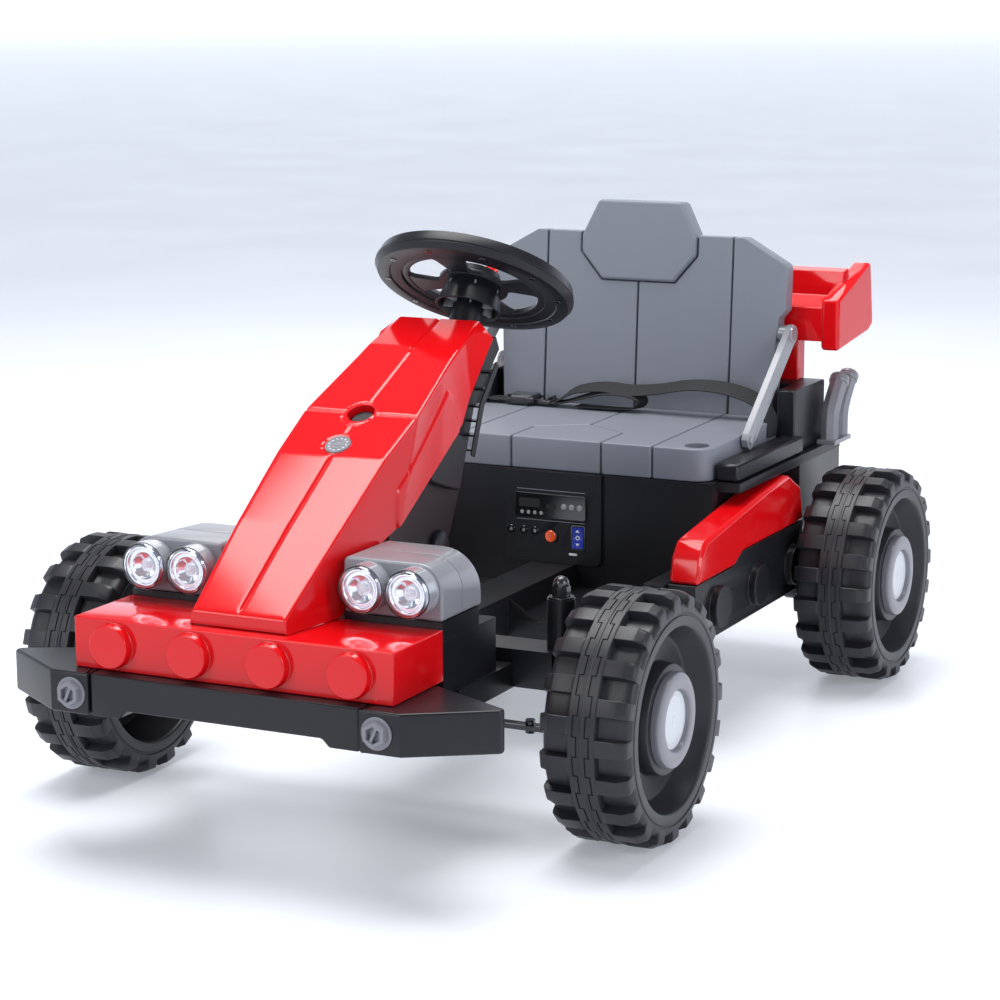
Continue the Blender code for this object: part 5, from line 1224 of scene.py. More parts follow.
    def build_struts(self, shop: Workshop) -> None:
        """Makes both grey braces between the side bars and the back, each with its two pins.

        Args:
            shop: where the pieces go.
        """
        for side in Side:
            node = "strut_" + side.tag
            shop.soften(node, SILVER_SATIN, 0.0010, "brace_" + side.tag)
            pins = []
            for (y, z), radius in (((0.2877, 0.3167), 0.0046), ((0.431, 0.4283), 0.0112)):
                x = 0.2093 * side.value
                pins.append(turned([(0, -0.003), (radius, -0.003), (radius, 0.0009),
                                    (radius - 0.0006, 0.0014), (radius * 0.72, 0.0014),
                                    (radius * 0.66, 0.0006), (radius * 0.40, 0.0006), (radius * 0.34, 0.0013),
                                    (0.0, 0.0014)], (x, y, z), (side.value, 0, 0), 40))
            shop.add("brace_pins_" + side.tag, pins, SILVER_BRIGHT, node)

    def webbing(self, route: list, width: float = 0.025, thick: float = 0.0016,
                twist: tuple = (0.0,)) -> Shell:
        """A strap along a smooth route through (x, y, z) points, rolled about its own length.

        The route is a Catmull-Rom curve. The side vector is y turned about the tangent by the roll, which
        runs through the twist's degrees along the strap. A section point (a, b) lies at
        route + a * side + b * normal.

        Args:
            route: the points.
            width: the webbing's width.
            thick: its thickness.
            twist: degrees of roll, evenly spread along the strap.

        Returns:
            The closed shell with its map.
        """
        knots = np.asarray(route, float)
        knots = np.vstack([2 * knots[0] - knots[1], knots, 2 * knots[-1] - knots[-2]])
        share = np.linspace(0, len(knots) - 3, 12 * (len(knots) - 3) + 1)
        index = np.minimum(share.astype(int), len(knots) - 4)
        u = (share - index)[:, None]
        p0, p1, p2, p3 = (knots[index + k] for k in range(4))
        path = 0.5 * (2 * p1 + (p2 - p0) * u + (2 * p0 - 5 * p1 + 4 * p2 - p3) * u**2
                      + (3 * p1 - p0 - 3 * p2 + p3) * u**3)
        tangent = unit(np.gradient(path, axis=0))
        across = unit(np.array([0.0, 1.0, 0.0]) - tangent * tangent[:, 1:2])
        flat = np.cross(tangent, across)
        roll = np.radians(np.interp(share / share[-1], np.linspace(0, 1, len(twist)), twist))[:, None]
        side = np.cos(roll) * across + np.sin(roll) * flat
        normal = np.cos(roll) * flat - np.sin(roll) * across
        section = eased([(-width / 2, -thick / 2), (width / 2, -thick / 2), (width / 2, thick / 2),
                         (-width / 2, thick / 2)], thick * 0.35, 2)
        spread = np.linspace(-0.9, 0.9, 9)[:, None] * width / 2
        low, high = spread * (1, 0) + (0, -thick / 2), spread[::-1] * (1, 0) + (0, thick / 2)
        ends = len(section) // 2
        section = np.vstack([low, section[ends - 3:ends + 3], high, section[-3:], section[:3]])
        shell = carried(section, path, (0, 1, 0))
        rings = path[:, None] + section[None, :, :1] * side[:, None] + section[None, :, 1:] * normal[:, None]
        shell.points = rings.reshape(-1, 3)
        return shell

    def length(self, shell: Shell) -> float:
        """The length of a strap, read from its map."""
        return float(shell.chart[:, 1].max())

    def build_belt(self, shop: Workshop) -> None:
        """Args:
            shop: where the pieces go.
        """
        y, base = 0.3805, 0.3266
        arch = [(-0.0985, y, base + 0.0015), (-0.0880, y, base + 0.0085), (-0.0660, y, base + 0.0210),
                (-0.0300, y, base + 0.0270), (0.0100, y, base + 0.0250), (0.0480, y, base + 0.0290),
                (0.0900, y - 0.002, base + 0.0370), (0.1300, y - 0.001, base + 0.0370),
                (0.1650, y, base + 0.0300), (0.1880, y, base + 0.0180), (0.1990, y, base + 0.0030),
                (0.2012, y, base - 0.0090), (0.2014, y, base - 0.0210)]
        tail = [(-0.0990, y - 0.002, base + 0.0030), (-0.0800, y - 0.003, base + 0.0055),
                (-0.0520, y - 0.004, base + 0.0140), (-0.0240, y - 0.004, base + 0.0215),
                (0.0060, y - 0.004, base + 0.0220), (0.0230, y - 0.004, base + 0.0175),
                (0.0265, y - 0.003, base + 0.0095), (0.0160, y - 0.002, base + 0.0025),
                (-0.0080, y - 0.002, base + 0.0010), (-0.0380, y - 0.002, base + 0.0008),
                (-0.0640, y - 0.002, base + 0.0008)]
        short = [(-0.2014, y, base - 0.0210), (-0.2010, y, base - 0.0080), (-0.1960, y, base + 0.0010),
                 (-0.1820, y, base + 0.0040), (-0.1660, y, base + 0.0030), (-0.1575, y, base + 0.0025)]
        for name, route, twist, node, stands_in in (
            ("strap_left", arch, (0.0, 18.0, 27.0, 25.0, 28.0, 20.0, 2.0), "belt_strap_left", True),
            ("strap_tail", tail, (0.0, 12.0, 14.0, 4.0, 0.0), "belt_strap_left", False),
            ("strap_right", short, (0.0, 0.0), "belt_strap_right", True),
        ):
            shell = self.webbing(route, 0.025, 0.0016, twist)
            piece = shop.add(name, [shell], WEBBING, node, stands_in, 60)
            log.info("%s: %.0f mm long", name, self.length(shell) * 1000)
        low = 0.3253
        body = eased([(-0.160, 0.3655), (-0.152, 0.3635), (-0.128, 0.3635), (-0.1235, 0.3668),
                      (-0.1235, 0.3942), (-0.128, 0.3975), (-0.152, 0.3975), (-0.160, 0.3955)], 0.0020)
        tongue = eased([(-0.1240, 0.3690), (-0.1130, 0.3672), (-0.0980, 0.3660), (-0.0980, 0.3950),
                        (-0.1130, 0.3938), (-0.1240, 0.3920)], 0.0015)
        button = eased([(-0.1550, 0.3730), (-0.1420, 0.3730), (-0.1420, 0.3880), (-0.1550, 0.3880)], 0.0020)
        prongs = [block((-0.1330, y, low + 0.0030), (-0.1200, y + 0.0045, low + 0.0105), 0.0012, 0.0010)
                  for y in (0.3632, 0.3932)]
        bar = block((-0.1045, 0.3665, low + 0.0045), (-0.1010, 0.3945, low + 0.0112), 0.0012, 0.0012)
        shells = [slab(body, Plane.PLAN, low, low + 0.0128, 0.0028, 4),
                  slab(tongue, Plane.PLAN, low + 0.0012, low + 0.0078, 0.0018, 3),
                  slab(button, Plane.PLAN, low + 0.010, low + 0.0130, 0.0012, 3), bar] + prongs
        shop.add("buckle_parts", shells, BLACK_GLOSS, "belt_buckle", True, 32)

    def build(self, shop: Workshop) -> None:
        """Makes the base, back, braces and belt in order.

        Args:
            shop: where the pieces go.
        """
        self.build_base(shop)
        self.build_back(shop)
        self.build_struts(shop)
        self.build_belt(shop)


# Nose: brick, bumper and lamps


@dataclass
class Nose:
    """The red brick, the bumper with its bolts, and the four lamps in their grey pods."""

    bolt_x: float = 0.175
    bolt_z: float = 0.17275
    pod_x: tuple[float, float] = (0.071, 0.182)
    pod_z: tuple[float, float] = (0.2543, 0.3115)
    lens_x: tuple[float, float] = (0.101, 0.1535)
    lens_z: float = 0.2842
    lens_front: float = -0.4985
    lens_swell: float = 1.11
    brick_front: float = -0.5791
    stud_pitch: float = 0.0912
    stud_z: float = 0.2211
    bar_turn: float = 1.15
    pod_middle: tuple[float, float] = (0.1265, 0.2829)
    lamp_parts: tuple[tuple[str, Finish, float], ...] = (
        ("cover", LENS_CLEAR, 30), ("reflector", REFLECTOR, 25), ("bulb", BULB_GLASS, 30),
        ("collar", SILVER_SATIN, 30), ("tube", LENS_WALL, 30))

    def pod_block(self, front: float, back: float, first: float, last: float, edge: float) -> Shell:
        """A stretch of the pod, whose outer top corner grows: radius = first + share * (last - first).

        Args:
            front: y of its front.
            back: y of its back.
            first: corner radius at the front.
            last: corner radius at the back.
            edge: radius of the front rim.

        Returns:
            The closed shell on the driver's left.
        """
        (x0, x1), (z0, z1) = self.pod_x, self.pod_z
        turn = np.linspace(0, pi / 2, 5)
        y = np.concatenate([front + edge * (1 - np.cos(turn)), [back - 0.0008, back]])
        depth = np.concatenate([edge * (1 - np.sin(turn)), [0.0, 0.0008]])
        share = (y - front) / (back - front)
        rings = []
        for place, amount, part in zip(y, depth, share):
            outline = eased([(x0, z0), (x1, z0), (x1, z1), (x0, z1)],
                            [0.004, 0.0045, first + part * (last - first),
                             0.0065], 8, True)
            flat = inset(outline, [amount])[0]
            rings.append(np.stack([flat[:, 0], np.full(len(flat), place), flat[:, 1]], -1))
        return ringed(np.array(rings))

    def lens(self, x: float) -> dict[str, Shell]:
        """A lamp about its own axis: stepped reflector, clear cover, bulb, collar and clear tube.

        Args:
            x: the lamp's place.

        Returns:
            The shell of each part, swelled to the lamp's own width.
        """
        origin, axis = (x, self.lens_front, self.lens_z), BACKWARD
        reflector = turned([
            (0.0, 0.0135), (0.0050, 0.0135), (0.0056, 0.0125), (0.0062, 0.0125), (0.0110, 0.0080),
            (0.0126, 0.0060), (0.0130, 0.0050), (0.0144, 0.0050), (0.0148, 0.0062), (0.0158, 0.0062),
            (0.0166, 0.0044), (0.0172, 0.0036), (0.0184, 0.0036), (0.0190, 0.0046), (0.0198, 0.0060),
            (0.0198, 0.0300), (0.0, 0.0300)], origin, axis, 64)
        cover = turned([(0.0, 0.0006), (0.0120, 0.0008), (0.0190, 0.0), (0.0208, 0.0002), (0.0218, 0.0012),
                        (0.0220, 0.0028), (0.0220, 0.0320), (0.0204, 0.0320), (0.0204, 0.0034),
                        (0.0186, 0.0016), (0.0120, 0.0020), (0.0, 0.0020)], origin, axis, 64)
        bulb = turned([(0.0, 0.0060), (0.0018, 0.0064), (0.0032, 0.0076), (0.0038, 0.0094), (0.0038, 0.0120),
                       (0.0044, 0.0124), (0.0044, 0.0136), (0.0, 0.0138)], origin, axis, 24)
        collar = turned([(0.0205, 0.0285), (0.0228, 0.0285), (0.0234, 0.0300), (0.0234, 0.0330),
                         (0.0205, 0.0330)],
                        origin, axis, 64, True)
        tube = turned([(0.0222, 0.0040), (0.0225, 0.0040), (0.0225, 0.0300), (0.0222, 0.0300)], origin,
                      axis, 64, True)
        parts = {"reflector": reflector, "cover": cover, "bulb": bulb, "collar": collar, "tube": tube}
        swell = self.lens_swell
        return {part: shell.swelled(x, self.lens_z, swell, swell) for part, shell in parts.items()}

    def brick(self) -> list[Shell]:
        """The red brick with its four studs, whose foot and rim are rounded.

        Returns:
            The body and the studs.
        """
        body = block((-0.1827, self.brick_front, 0.1948), (0.1827, -0.4750, 0.2474), 0.0016,
                     0.0016, Plane.FRONT)
        profile = [(0, -0.002), (0.0236, -0.002), (0.0236, 0.0), (0.0229, 0.0003), (0.0225, 0.0010),
                   (0.0225, 0.0090), (0.0221, 0.0098), (0.0212, 0.0104), (0.0200, 0.0105), (0.0, 0.0105)]
        return [body] + [turned(profile, (self.stud_pitch * (k - 1.5), self.brick_front,
                                          self.stud_z), FRONTWARD,
                                64) for k in range(4)]

    def bumper_end(self) -> Shell:
        """The bumper's left end: its front turns back to a rounded tip, with rounded rims above and below.

        Returns:
            The closed shell on the driver's left.
        """
        outline = eased([(0.1556, -0.599), (0.200, -0.599), (0.283, -0.545), (0.280, -0.5365),
                         (0.210, -0.502), (0.187, -0.490), (0.1556, -0.490)],
                        [0.001, 0.005, 0.006, 0.004, 0.004, 0.003, 0.001])
        return slab(outline, Plane.PLAN, 0.151, 0.1945, 0.0030, 4)

    def bolt(self, x: float) -> list[Shell]:
        """A bumper bolt: a round flange, a hex head with a deep hex socket, and a bar across the socket.

        The bar's own x and y are turned by the bar's turn in the plane of the front, and its z faces forward.

        Args:
            x: the bolt's place.

        Returns:
            Head, flange and bar.
        """
        place = (x, -0.5993, self.bolt_z)
        head = turned([(0, 0.0030), (0.0076, 0.0030), (0.0084, 0.0082), (0.0092, 0.0090), (0.0120, 0.0090),
                       (0.0131, 0.0080), (0.0132, 0.0), (0, 0.0)], place, FRONTWARD, 6)
        flange = turned([(0, -0.001), (0.0160, -0.001), (0.0164, -0.0004), (0.0164, 0.0014),
                         (0.0156, 0.0022), (0, 0.0022)], place, FRONTWARD, 48)
        bar = block((-0.0078, -0.0016, 0.0), (0.0078, 0.0016, 0.0078), 0.0004, 0.0004)
        across, up = cos(self.bar_turn), sin(self.bar_turn)
        turn = np.array([[across, -up, 0], [0, 0, -1], [up, across, 0]])
        return [head, flange, bar.placed(turn, np.array(place))]

    def build(self, shop: Workshop) -> None:
        """Makes the brick, the bumper, its bolts and both sides' lamps.

        Args:
            shop: where the pieces go.
        """
        shop.add("brick", self.brick(), RED_GLOSS, "front_brick", True)
        shop.soften("bumper_bar", BLACK_SATIN, 0.0022, "bumper_middle")
        for side in Side:
            shop.add("bumper_end_" + side.tag, [self.bumper_end().on(side)], BLACK_SATIN,
                     "bumper_corner_" + side.tag, True)
            shop.add("bumper_bolt_head_" + side.tag, self.bolt(self.bolt_x * side.value), HUB_GREY,
                     "bumper_bolt_" + side.tag, True)
            self.build_lamps(shop, side)

    def build_lamps(self, shop: Workshop, side: Side) -> None:
        """Makes a side's pod, in two stretches over a dark core, and the two lamps in it.

        The core's black is painted shade in the seam between the stretches.

        Args:
            shop: where the pieces go.
            side: the driver's side.
        """
        stretches = [self.pod_block(-0.4747, -0.4303, 0.026, 0.034, 0.0030),
                     self.pod_block(-0.4297, -0.3900, 0.034, 0.042, 0.0006)]
        core = self.pod_block(-0.4700, -0.3930, 0.027, 0.041, 0.0010).swelled(*self.pod_middle, 0.975, 0.955)
        node = "lamp_pod_" + side.tag
        shop.add("pod_shell_" + side.tag, [shell.on(side) for shell in stretches], SILVER_SATIN,
                 node, True, 25)
        # The core's black is painted shade in the seam between the stretches.
        shop.add("pod_core_" + side.tag, [core.on(side)], SHADOW_BLACK, node, smooth=shop.core_smooth)
        for place, x in zip(("inner", "outer"), self.lens_x):
            shells, name = self.lens(x), f"_{side.tag}_{place}"
            for part, finish, smooth in self.lamp_parts:
                shop.add("lamp_" + part + name, [shells[part].on(side)], finish, "lens" + name,
                         part == "cover", smooth)


# Steering


@dataclass
class Steering:
    """The hand wheel on its tilted axis, and the linkage below it."""

    centre: tuple[float, float, float] = (0.0, -0.0405, 0.5341)
    axis: tuple[float, float, float] = (0.0, 0.512043, 0.85896)
    rim_radius: float = 0.1155
    rim_width: float = 0.0325
    opening: tuple[float, float] = (0.038, 0.076)
    opening_angle: float = 30.0
    kingpin_x: float = 0.231
    kingpin_top: float = 0.250
    screw_circle: float = 0.100
    finishes: tuple[Finish, ...] = (BLACK_SATIN, BLACK_SATIN, PRINT_GREY, BLACK_GLOSS, BOLT_DARK)

    def spoke(self, middle: float) -> Shell:
        """A spoke of the plate between two hand openings, flared where it joins hub and rim.

        Its side is a straight radial line with a 7 mm arc at each end.

        Args:
            middle: the spoke's angle in degrees.

        Returns:
            The closed shell about the wheel's centre, its axis along z.
        """
        inner, outer = self.opening
        half = radians(45 - self.opening_angle)
        flare = 0.007
        radius = np.array([inner - 0.002, inner, inner + flare * 0.3, inner + flare, outer - flare,
                           outer - flare * 0.3, outer, outer + 0.010])
        extra = np.array([0.0090, 0.0070, 0.0022, 0.0, 0.0, 0.0022, 0.0070, 0.0090])
        angle = half + extra / radius
        right = np.stack([radius * np.cos(-angle), radius * np.sin(-angle)], -1)
        left = np.stack([radius * np.cos(angle), radius * np.sin(angle)], -1)[::-1]
        turn = radians(middle)
        spin = np.array([[cos(turn), -sin(turn)], [sin(turn), cos(turn)]])
        return slab(np.vstack([right, left]) @ spin.T, Plane.PLAN, -0.0045, 0.0010, 0.0010)

    def wheel(self) -> dict[str, list[Shell]]:
        """The hand wheel's parts about its centre, axis along z.

        Returns:
            Shells of each piece, under its name.
        """
        outer, inner = self.rim_radius, self.rim_radius - self.rim_width
        rim = turned([(outer - 0.015, 0.0145), (outer - 0.004, 0.0125), (outer - 0.0004, 0.0012),
                      (outer - 0.0014, 0.0004), (outer - 0.0014, -0.0004), (outer - 0.0002, -0.0012),
                      (outer - 0.005, -0.0085), (inner + 0.0140, -0.0085), (inner + 0.0130, -0.0070),
                      (inner, -0.0070), (inner - 0.001, 0.002), (inner + 0.008, 0.0115)],
                     CENTRE, UPWARD, 128, True, 0.0004)
        hub_plate = turned([(0.010, -0.0050), (0.0395, -0.0050), (0.0400, -0.0040), (0.0400, 0.0006),
                            (0.0395, 0.0014), (0.0290, 0.0014), (0.0270, 0.0130), (0.0240, 0.0140),
                            (0.010, 0.0140)], CENTRE, UPWARD, 96, True)
        cap = turned([(0.0, 0.0120), (0.0225, 0.0120), (0.0232, 0.0126), (0.0232, 0.0136), (0.0222, 0.0142),
                      (0.0, 0.0144)], CENTRE, UPWARD, 64)
        annulus = turned([(0.0745, -0.0050), (0.0850, -0.0050), (0.0850, 0.0014), (0.0745, 0.0014)],
                         CENTRE, UPWARD, 128, True, 0.0008)
        collar = turned([(0.0300, -0.0040), (0.0377, -0.0322), (0.0374, -0.0327), (0.0350, -0.0327),
                         (0.0342, -0.0310), (0.0275, -0.0060)], CENTRE, UPWARD, 96, True)
        hub = turned([(0.0, -0.0075), (0.0275, -0.0075), (0.0300, -0.0040), (0.0, -0.0040)],
                     CENTRE, UPWARD, 64)
        inside = turned([(0.0075, -0.0340), (0.0130, -0.0340), (0.0140, -0.0325), (0.0160, -0.0075),
                         (0.0075, -0.0075)], CENTRE, UPWARD, 48, True)
        rib = block((0.012, -0.0010, -0.0300), (0.0320, 0.0010, -0.0070), 0.0004, 0.0004)
        place = (self.screw_circle, 0, 0)
        boss = turned([(0.0012, -0.0094), (0.0030, -0.0094), (0.0034, -0.0088), (0.0034, -0.0060),
                       (0.0012, -0.0060)], place, UPWARD, 20, True)
        screw = turned([(0, -0.0080), (0.0015, -0.0080), (0.0015, -0.0060), (0, -0.0060)], place, UPWARD, 10)
        turns = [36.0 * k + 12 for k in range(10)]
        return {
            "hand_wheel": [rim, hub_plate, annulus, cap] + [self.spoke(angle) for angle in (0, 90, 180, 270)],
            "hand_wheel_collar": [collar, hub],
            "hand_wheel_socket": [inside] + [self.spun(rib, 60.0 * k) for k in range(6)],
            "hand_wheel_bosses": [self.spun(boss, turn) for turn in turns],
            "hand_wheel_screws": [self.spun(screw, turn) for turn in turns],
        }

    def spun(self, shell: Shell, degrees: float) -> Shell:
        """The shell turned about z through the origin."""
        across, up = cos(radians(degrees)), sin(radians(degrees))
        return shell.placed(np.array([[across, -up, 0], [up, across, 0], [0, 0, 1.0]]), np.zeros(3))

    def tilted(self, shell: Shell) -> Shell:
        """The shell with its z axis laid on the steering axis and its origin at the wheel's centre."""
        up, across = np.array(self.axis), np.array([1.0, 0, 0])
        return shell.placed(np.stack([across, np.cross(up, across), up], 1), np.array(self.centre))

    def nut(self, side: Side) -> list[Shell]:
        """An acorn nut on a kingpin.

        Args:
            side: the driver's side.

        Returns:
            The hex, the dome and the washer.
        """
        base = (self.kingpin_x * side.value, FRONT_AXLE_Y, self.kingpin_top)
        hexagon = turned([(0, 0), (0.0092, 0), (0.0098, 0.0008), (0.0098, 0.0100), (0.0090, 0.0112),
                          (0.0, 0.0114)], base, UPWARD, 6)
        dome = turned([(0.0086, 0.0105), (0.0086, 0.0130), (0.0080, 0.0158), (0.0066, 0.0184),
                       (0.0044, 0.0202), (0.0020, 0.0212), (0.0, 0.0214)], base, UPWARD, 32)
        washer = turned([(0, -0.0020), (0.0131, -0.0020), (0.0135, -0.0016), (0.0135, -0.0004),
                         (0.0131, 0.0), (0, 0.0)], base, UPWARD, 40)
        return [hexagon, dome, washer]

    def build(self, shop: Workshop) -> None:
        """Makes the hand wheel and dresses shaft, tie rod, knuckles and nuts.

        Args:
            shop: where the pieces go.
        """
        for (name, shells), finish in zip(self.wheel().items(), self.finishes):
            whole = name == "hand_wheel"
            shop.add(name, [self.tilted(shell) for shell in shells], finish, "steering_wheel", whole,
                     32 if whole else 30)
        shop.soften("steering_shaft", STEEL_PLAIN, 0.0006, "shaft_steel")
        shop.soften("tie_rod", BOLT_DARK, 0.0006, "tie_rod_steel")
        for side in Side:
            shop.soften("knuckle_" + side.tag, BLACK_SATIN, 0.0010, "knuckle_cast_" + side.tag)
            shop.add("acorn_nut_" + side.tag, self.nut(side), BOLT_DARK, "kingpin_nut_" + side.tag, True)


# Chassis mouldings and controls


@dataclass
class Console:
    """The upright panel on the seat box: two rockers, the player, three sockets and a light slot."""

    face: float = 0.1670
    round_rocker: tuple[float, float] = (-0.0025, 0.202)
    tall_rocker: tuple[float, float] = (0.034, 0.203)
    sockets: tuple[float, ...] = (-0.056, -0.039, -0.024)
    socket_z: float = 0.207
    tall_half: float = 0.013

    def disc(self, x: float, z: float, profile: list, steps: int = 40, ring: bool = False) -> Shell:
        """A turned shape on the panel's face, its height towards the front."""
        return turned(profile, (x, self.face, z), FRONTWARD, steps, ring)

    def crown(self, height: float | np.ndarray) -> float | np.ndarray:
        """y of the tall rocker's face: 1.6 mm proud, less 1.4 mm times (height / half its length)^1.6."""
        return self.face - 0.0016 - 0.0014 * np.abs(height / self.tall_half) ** 1.6

    def build(self, shop: Workshop) -> None:
        """Makes the panel's pieces.

        Args:
            shop: where the pieces go.
        """
        shop.soften("control_panel", BLACK_SATIN, 0.0010, "panel_plate")
        x, z = self.round_rocker
        ring = self.disc(x, z, [(0.0081, 0.0), (0.0094, 0.0), (0.0094, 0.0010), (0.0089, 0.0020),
                                (0.0081, 0.0020)], 48, True)
        shop.add("rocker_bezel", [ring], BLACK_GLOSS, "control_panel")
        cap = self.disc(x, z, [(0, 0.0002), (0.0073, 0.0002), (0.0073, 0.0020), (0.0065, 0.0029),
                               (0.0, 0.0024)])
        shop.add("round_rocker_cap", [cap], ORANGE_ROCKER, "power_switch", True)
        shop.add("tall_rocker_bezel", [self.tall_bezel()], BLACK_GLOSS, "control_panel")
        shop.add("tall_rocker_cap", [self.tall_cap()], BLUE_ROCKER, "direction_switch", True)
        shop.add("rocker_marks", self.marks(), MARK_WHITE, "direction_switch")
        rings = [self.disc(x, self.socket_z, [(0.0022, 0.0), (0.0052, 0.0), (0.0052, 0.0012),
                                              (0.0046, 0.0018), (0.0026, 0.0018), (0.0022, 0.0012)], 32, True)
                 for x in self.sockets]
        shop.add("socket_rings", rings, BLACK_GLOSS, "control_panel")
        pins = [self.disc(x, self.socket_z, [(0, -0.0005), (0.0022, -0.0005), (0.0022, 0.0004),
                                             (0, 0.0004)], 16)
                for x in self.sockets]
        shop.add("socket_pins", pins, STEEL_PLAIN, "control_panel")
        slot = rectangle((0.0215, 0.1802), (0.0325, 0.1830), 0.0012)
        shop.add("light_slot", [slab(slot, Plane.FRONT, self.face - 0.0004, self.face + 0.001, 0.0002)],
                 MARK_WHITE, "control_panel")
        self.player(shop)

    def tall_bezel(self) -> Shell:
        """The open frame round the tall rocker: two rounded rectangles, each at two depths, joined in a ring.

        Returns:
            The closed shell.
        """
        x, z = self.tall_rocker
        outer, inner = (eased([(x - u, z - v), (x + u, z - v), (x + u, z + v), (x - u, z + v)],
                              radius, 5, True)
                        for u, v, radius in ((0.0092, 0.0152, 0.0025), (0.0078, 0.0138, 0.0010)))
        rings = [np.stack([line[:, 0], np.full(len(line), self.face + depth), line[:, 1]], -1)
                 for line, depth in ((outer, 0.0008), (outer, -0.0010), (inner, -0.0010), (inner, 0.0008))]
        return ringed(np.array(rings), True)

    def tall_cap(self) -> Shell:
        """The tall rocker: a grid of heights and widths on its crown, with the rims 0.6 mm lower.

        Returns:
            The closed shell.
        """
        x, z = self.tall_rocker
        height = np.linspace(-self.tall_half, self.tall_half, 15)
        width = np.array([-0.00725, -0.0068, 0.0068, 0.00725])
        fall = np.array([0.0006, 0.0, 0.0, 0.0006])
        grid = (len(height), len(width))
        face = np.stack([np.broadcast_to(x + width, grid), self.crown(height)[:, None] + fall,
                         np.broadcast_to((z + height)[:, None], grid)], -1)
        back = face[:, ::-1].copy()
        back[..., 1] = self.face + 0.0004
        return ringed(np.concatenate([face, back], 1))

    def marks(self) -> list[Shell]:
        """The tall rocker's white marks: a triangle up, a ring and a triangle down.

        Returns:
            The closed shells.
        """
        x, z = self.tall_rocker
        front, shells = self.crown(0.0068) - 0.00045, []
        for sign in (1, -1):
            base, tip = z + sign * 0.0068, z + sign * 0.0102
            triangle = eased([(x - 0.0026, base), (x + 0.0026, base), (x, tip)], 0.0002)
            shells.append(slab(triangle, Plane.FRONT, front, front + 0.0014, 0.0001, 1))
        return shells + [self.disc(x, z, [(0.0018, 0.0013), (0.0027, 0.0013), (0.0027, 0.0019),
                                          (0.0018, 0.0019)], 32, True)]

    def player(self, shop: Workshop) -> None:
        """Makes the small player: a glossy face with a dark window and slot, its keys and two light lines.

        The slot's flat black is painted shade in its opening. The window's black is its own colour.

        Args:
            shop: where the pieces go.
        """
        front = self.face - 0.0027
        plate = rectangle((-0.050, 0.224), (0.045, 0.2545), 0.003)
        shop.add("player_plate", [slab(plate, Plane.FRONT, front, self.face, 0.0008)], BLACK_GLOSS,
                 "media_module", True, 30)
        window = rectangle((-0.044, 0.2365), (-0.016, 0.2475), 0.0010)
        dark = [slab(window, Plane.FRONT, front - 0.0003, front + 0.001, 0.0002)]
        # The slot's flat black is painted shade in its opening.
        dark.append(block((-0.008, front - 0.0003, 0.2365), (0.006, front + 0.001, 0.2415), 0.0005, 0.0001,
                          Plane.FRONT))
        shop.add("player_window", dark, SHADOW_BLACK, "media_module")
        keys = [self.disc(0.016 + 0.0105 * k, 0.2400, [(0, 0.0020), (0.0036, 0.0020), (0.0036, 0.0034),
                                                       (0.0030, 0.0040), (0, 0.0040)], 28) for k in range(3)]
        keys += [self.disc(-0.040 + 0.0085 * k, 0.2300, [(0, 0.0020), (0.0024, 0.0020), (0.0024, 0.0030),
                                                         (0.0020, 0.0034), (0, 0.0034)], 20)
                 for k in range(4)]
        shop.add("player_keys", keys, PRINT_GREY, "media_module")
        lines = [block((-0.048, self.face - 0.0003, z), (0.043, self.face + 0.0005, z + 0.0006),
                       0.0002, 0.0001, Plane.FRONT) for z in (0.2205, 0.2580)]
        shop.add("player_lines", lines, PRINT_GREY, "control_panel")


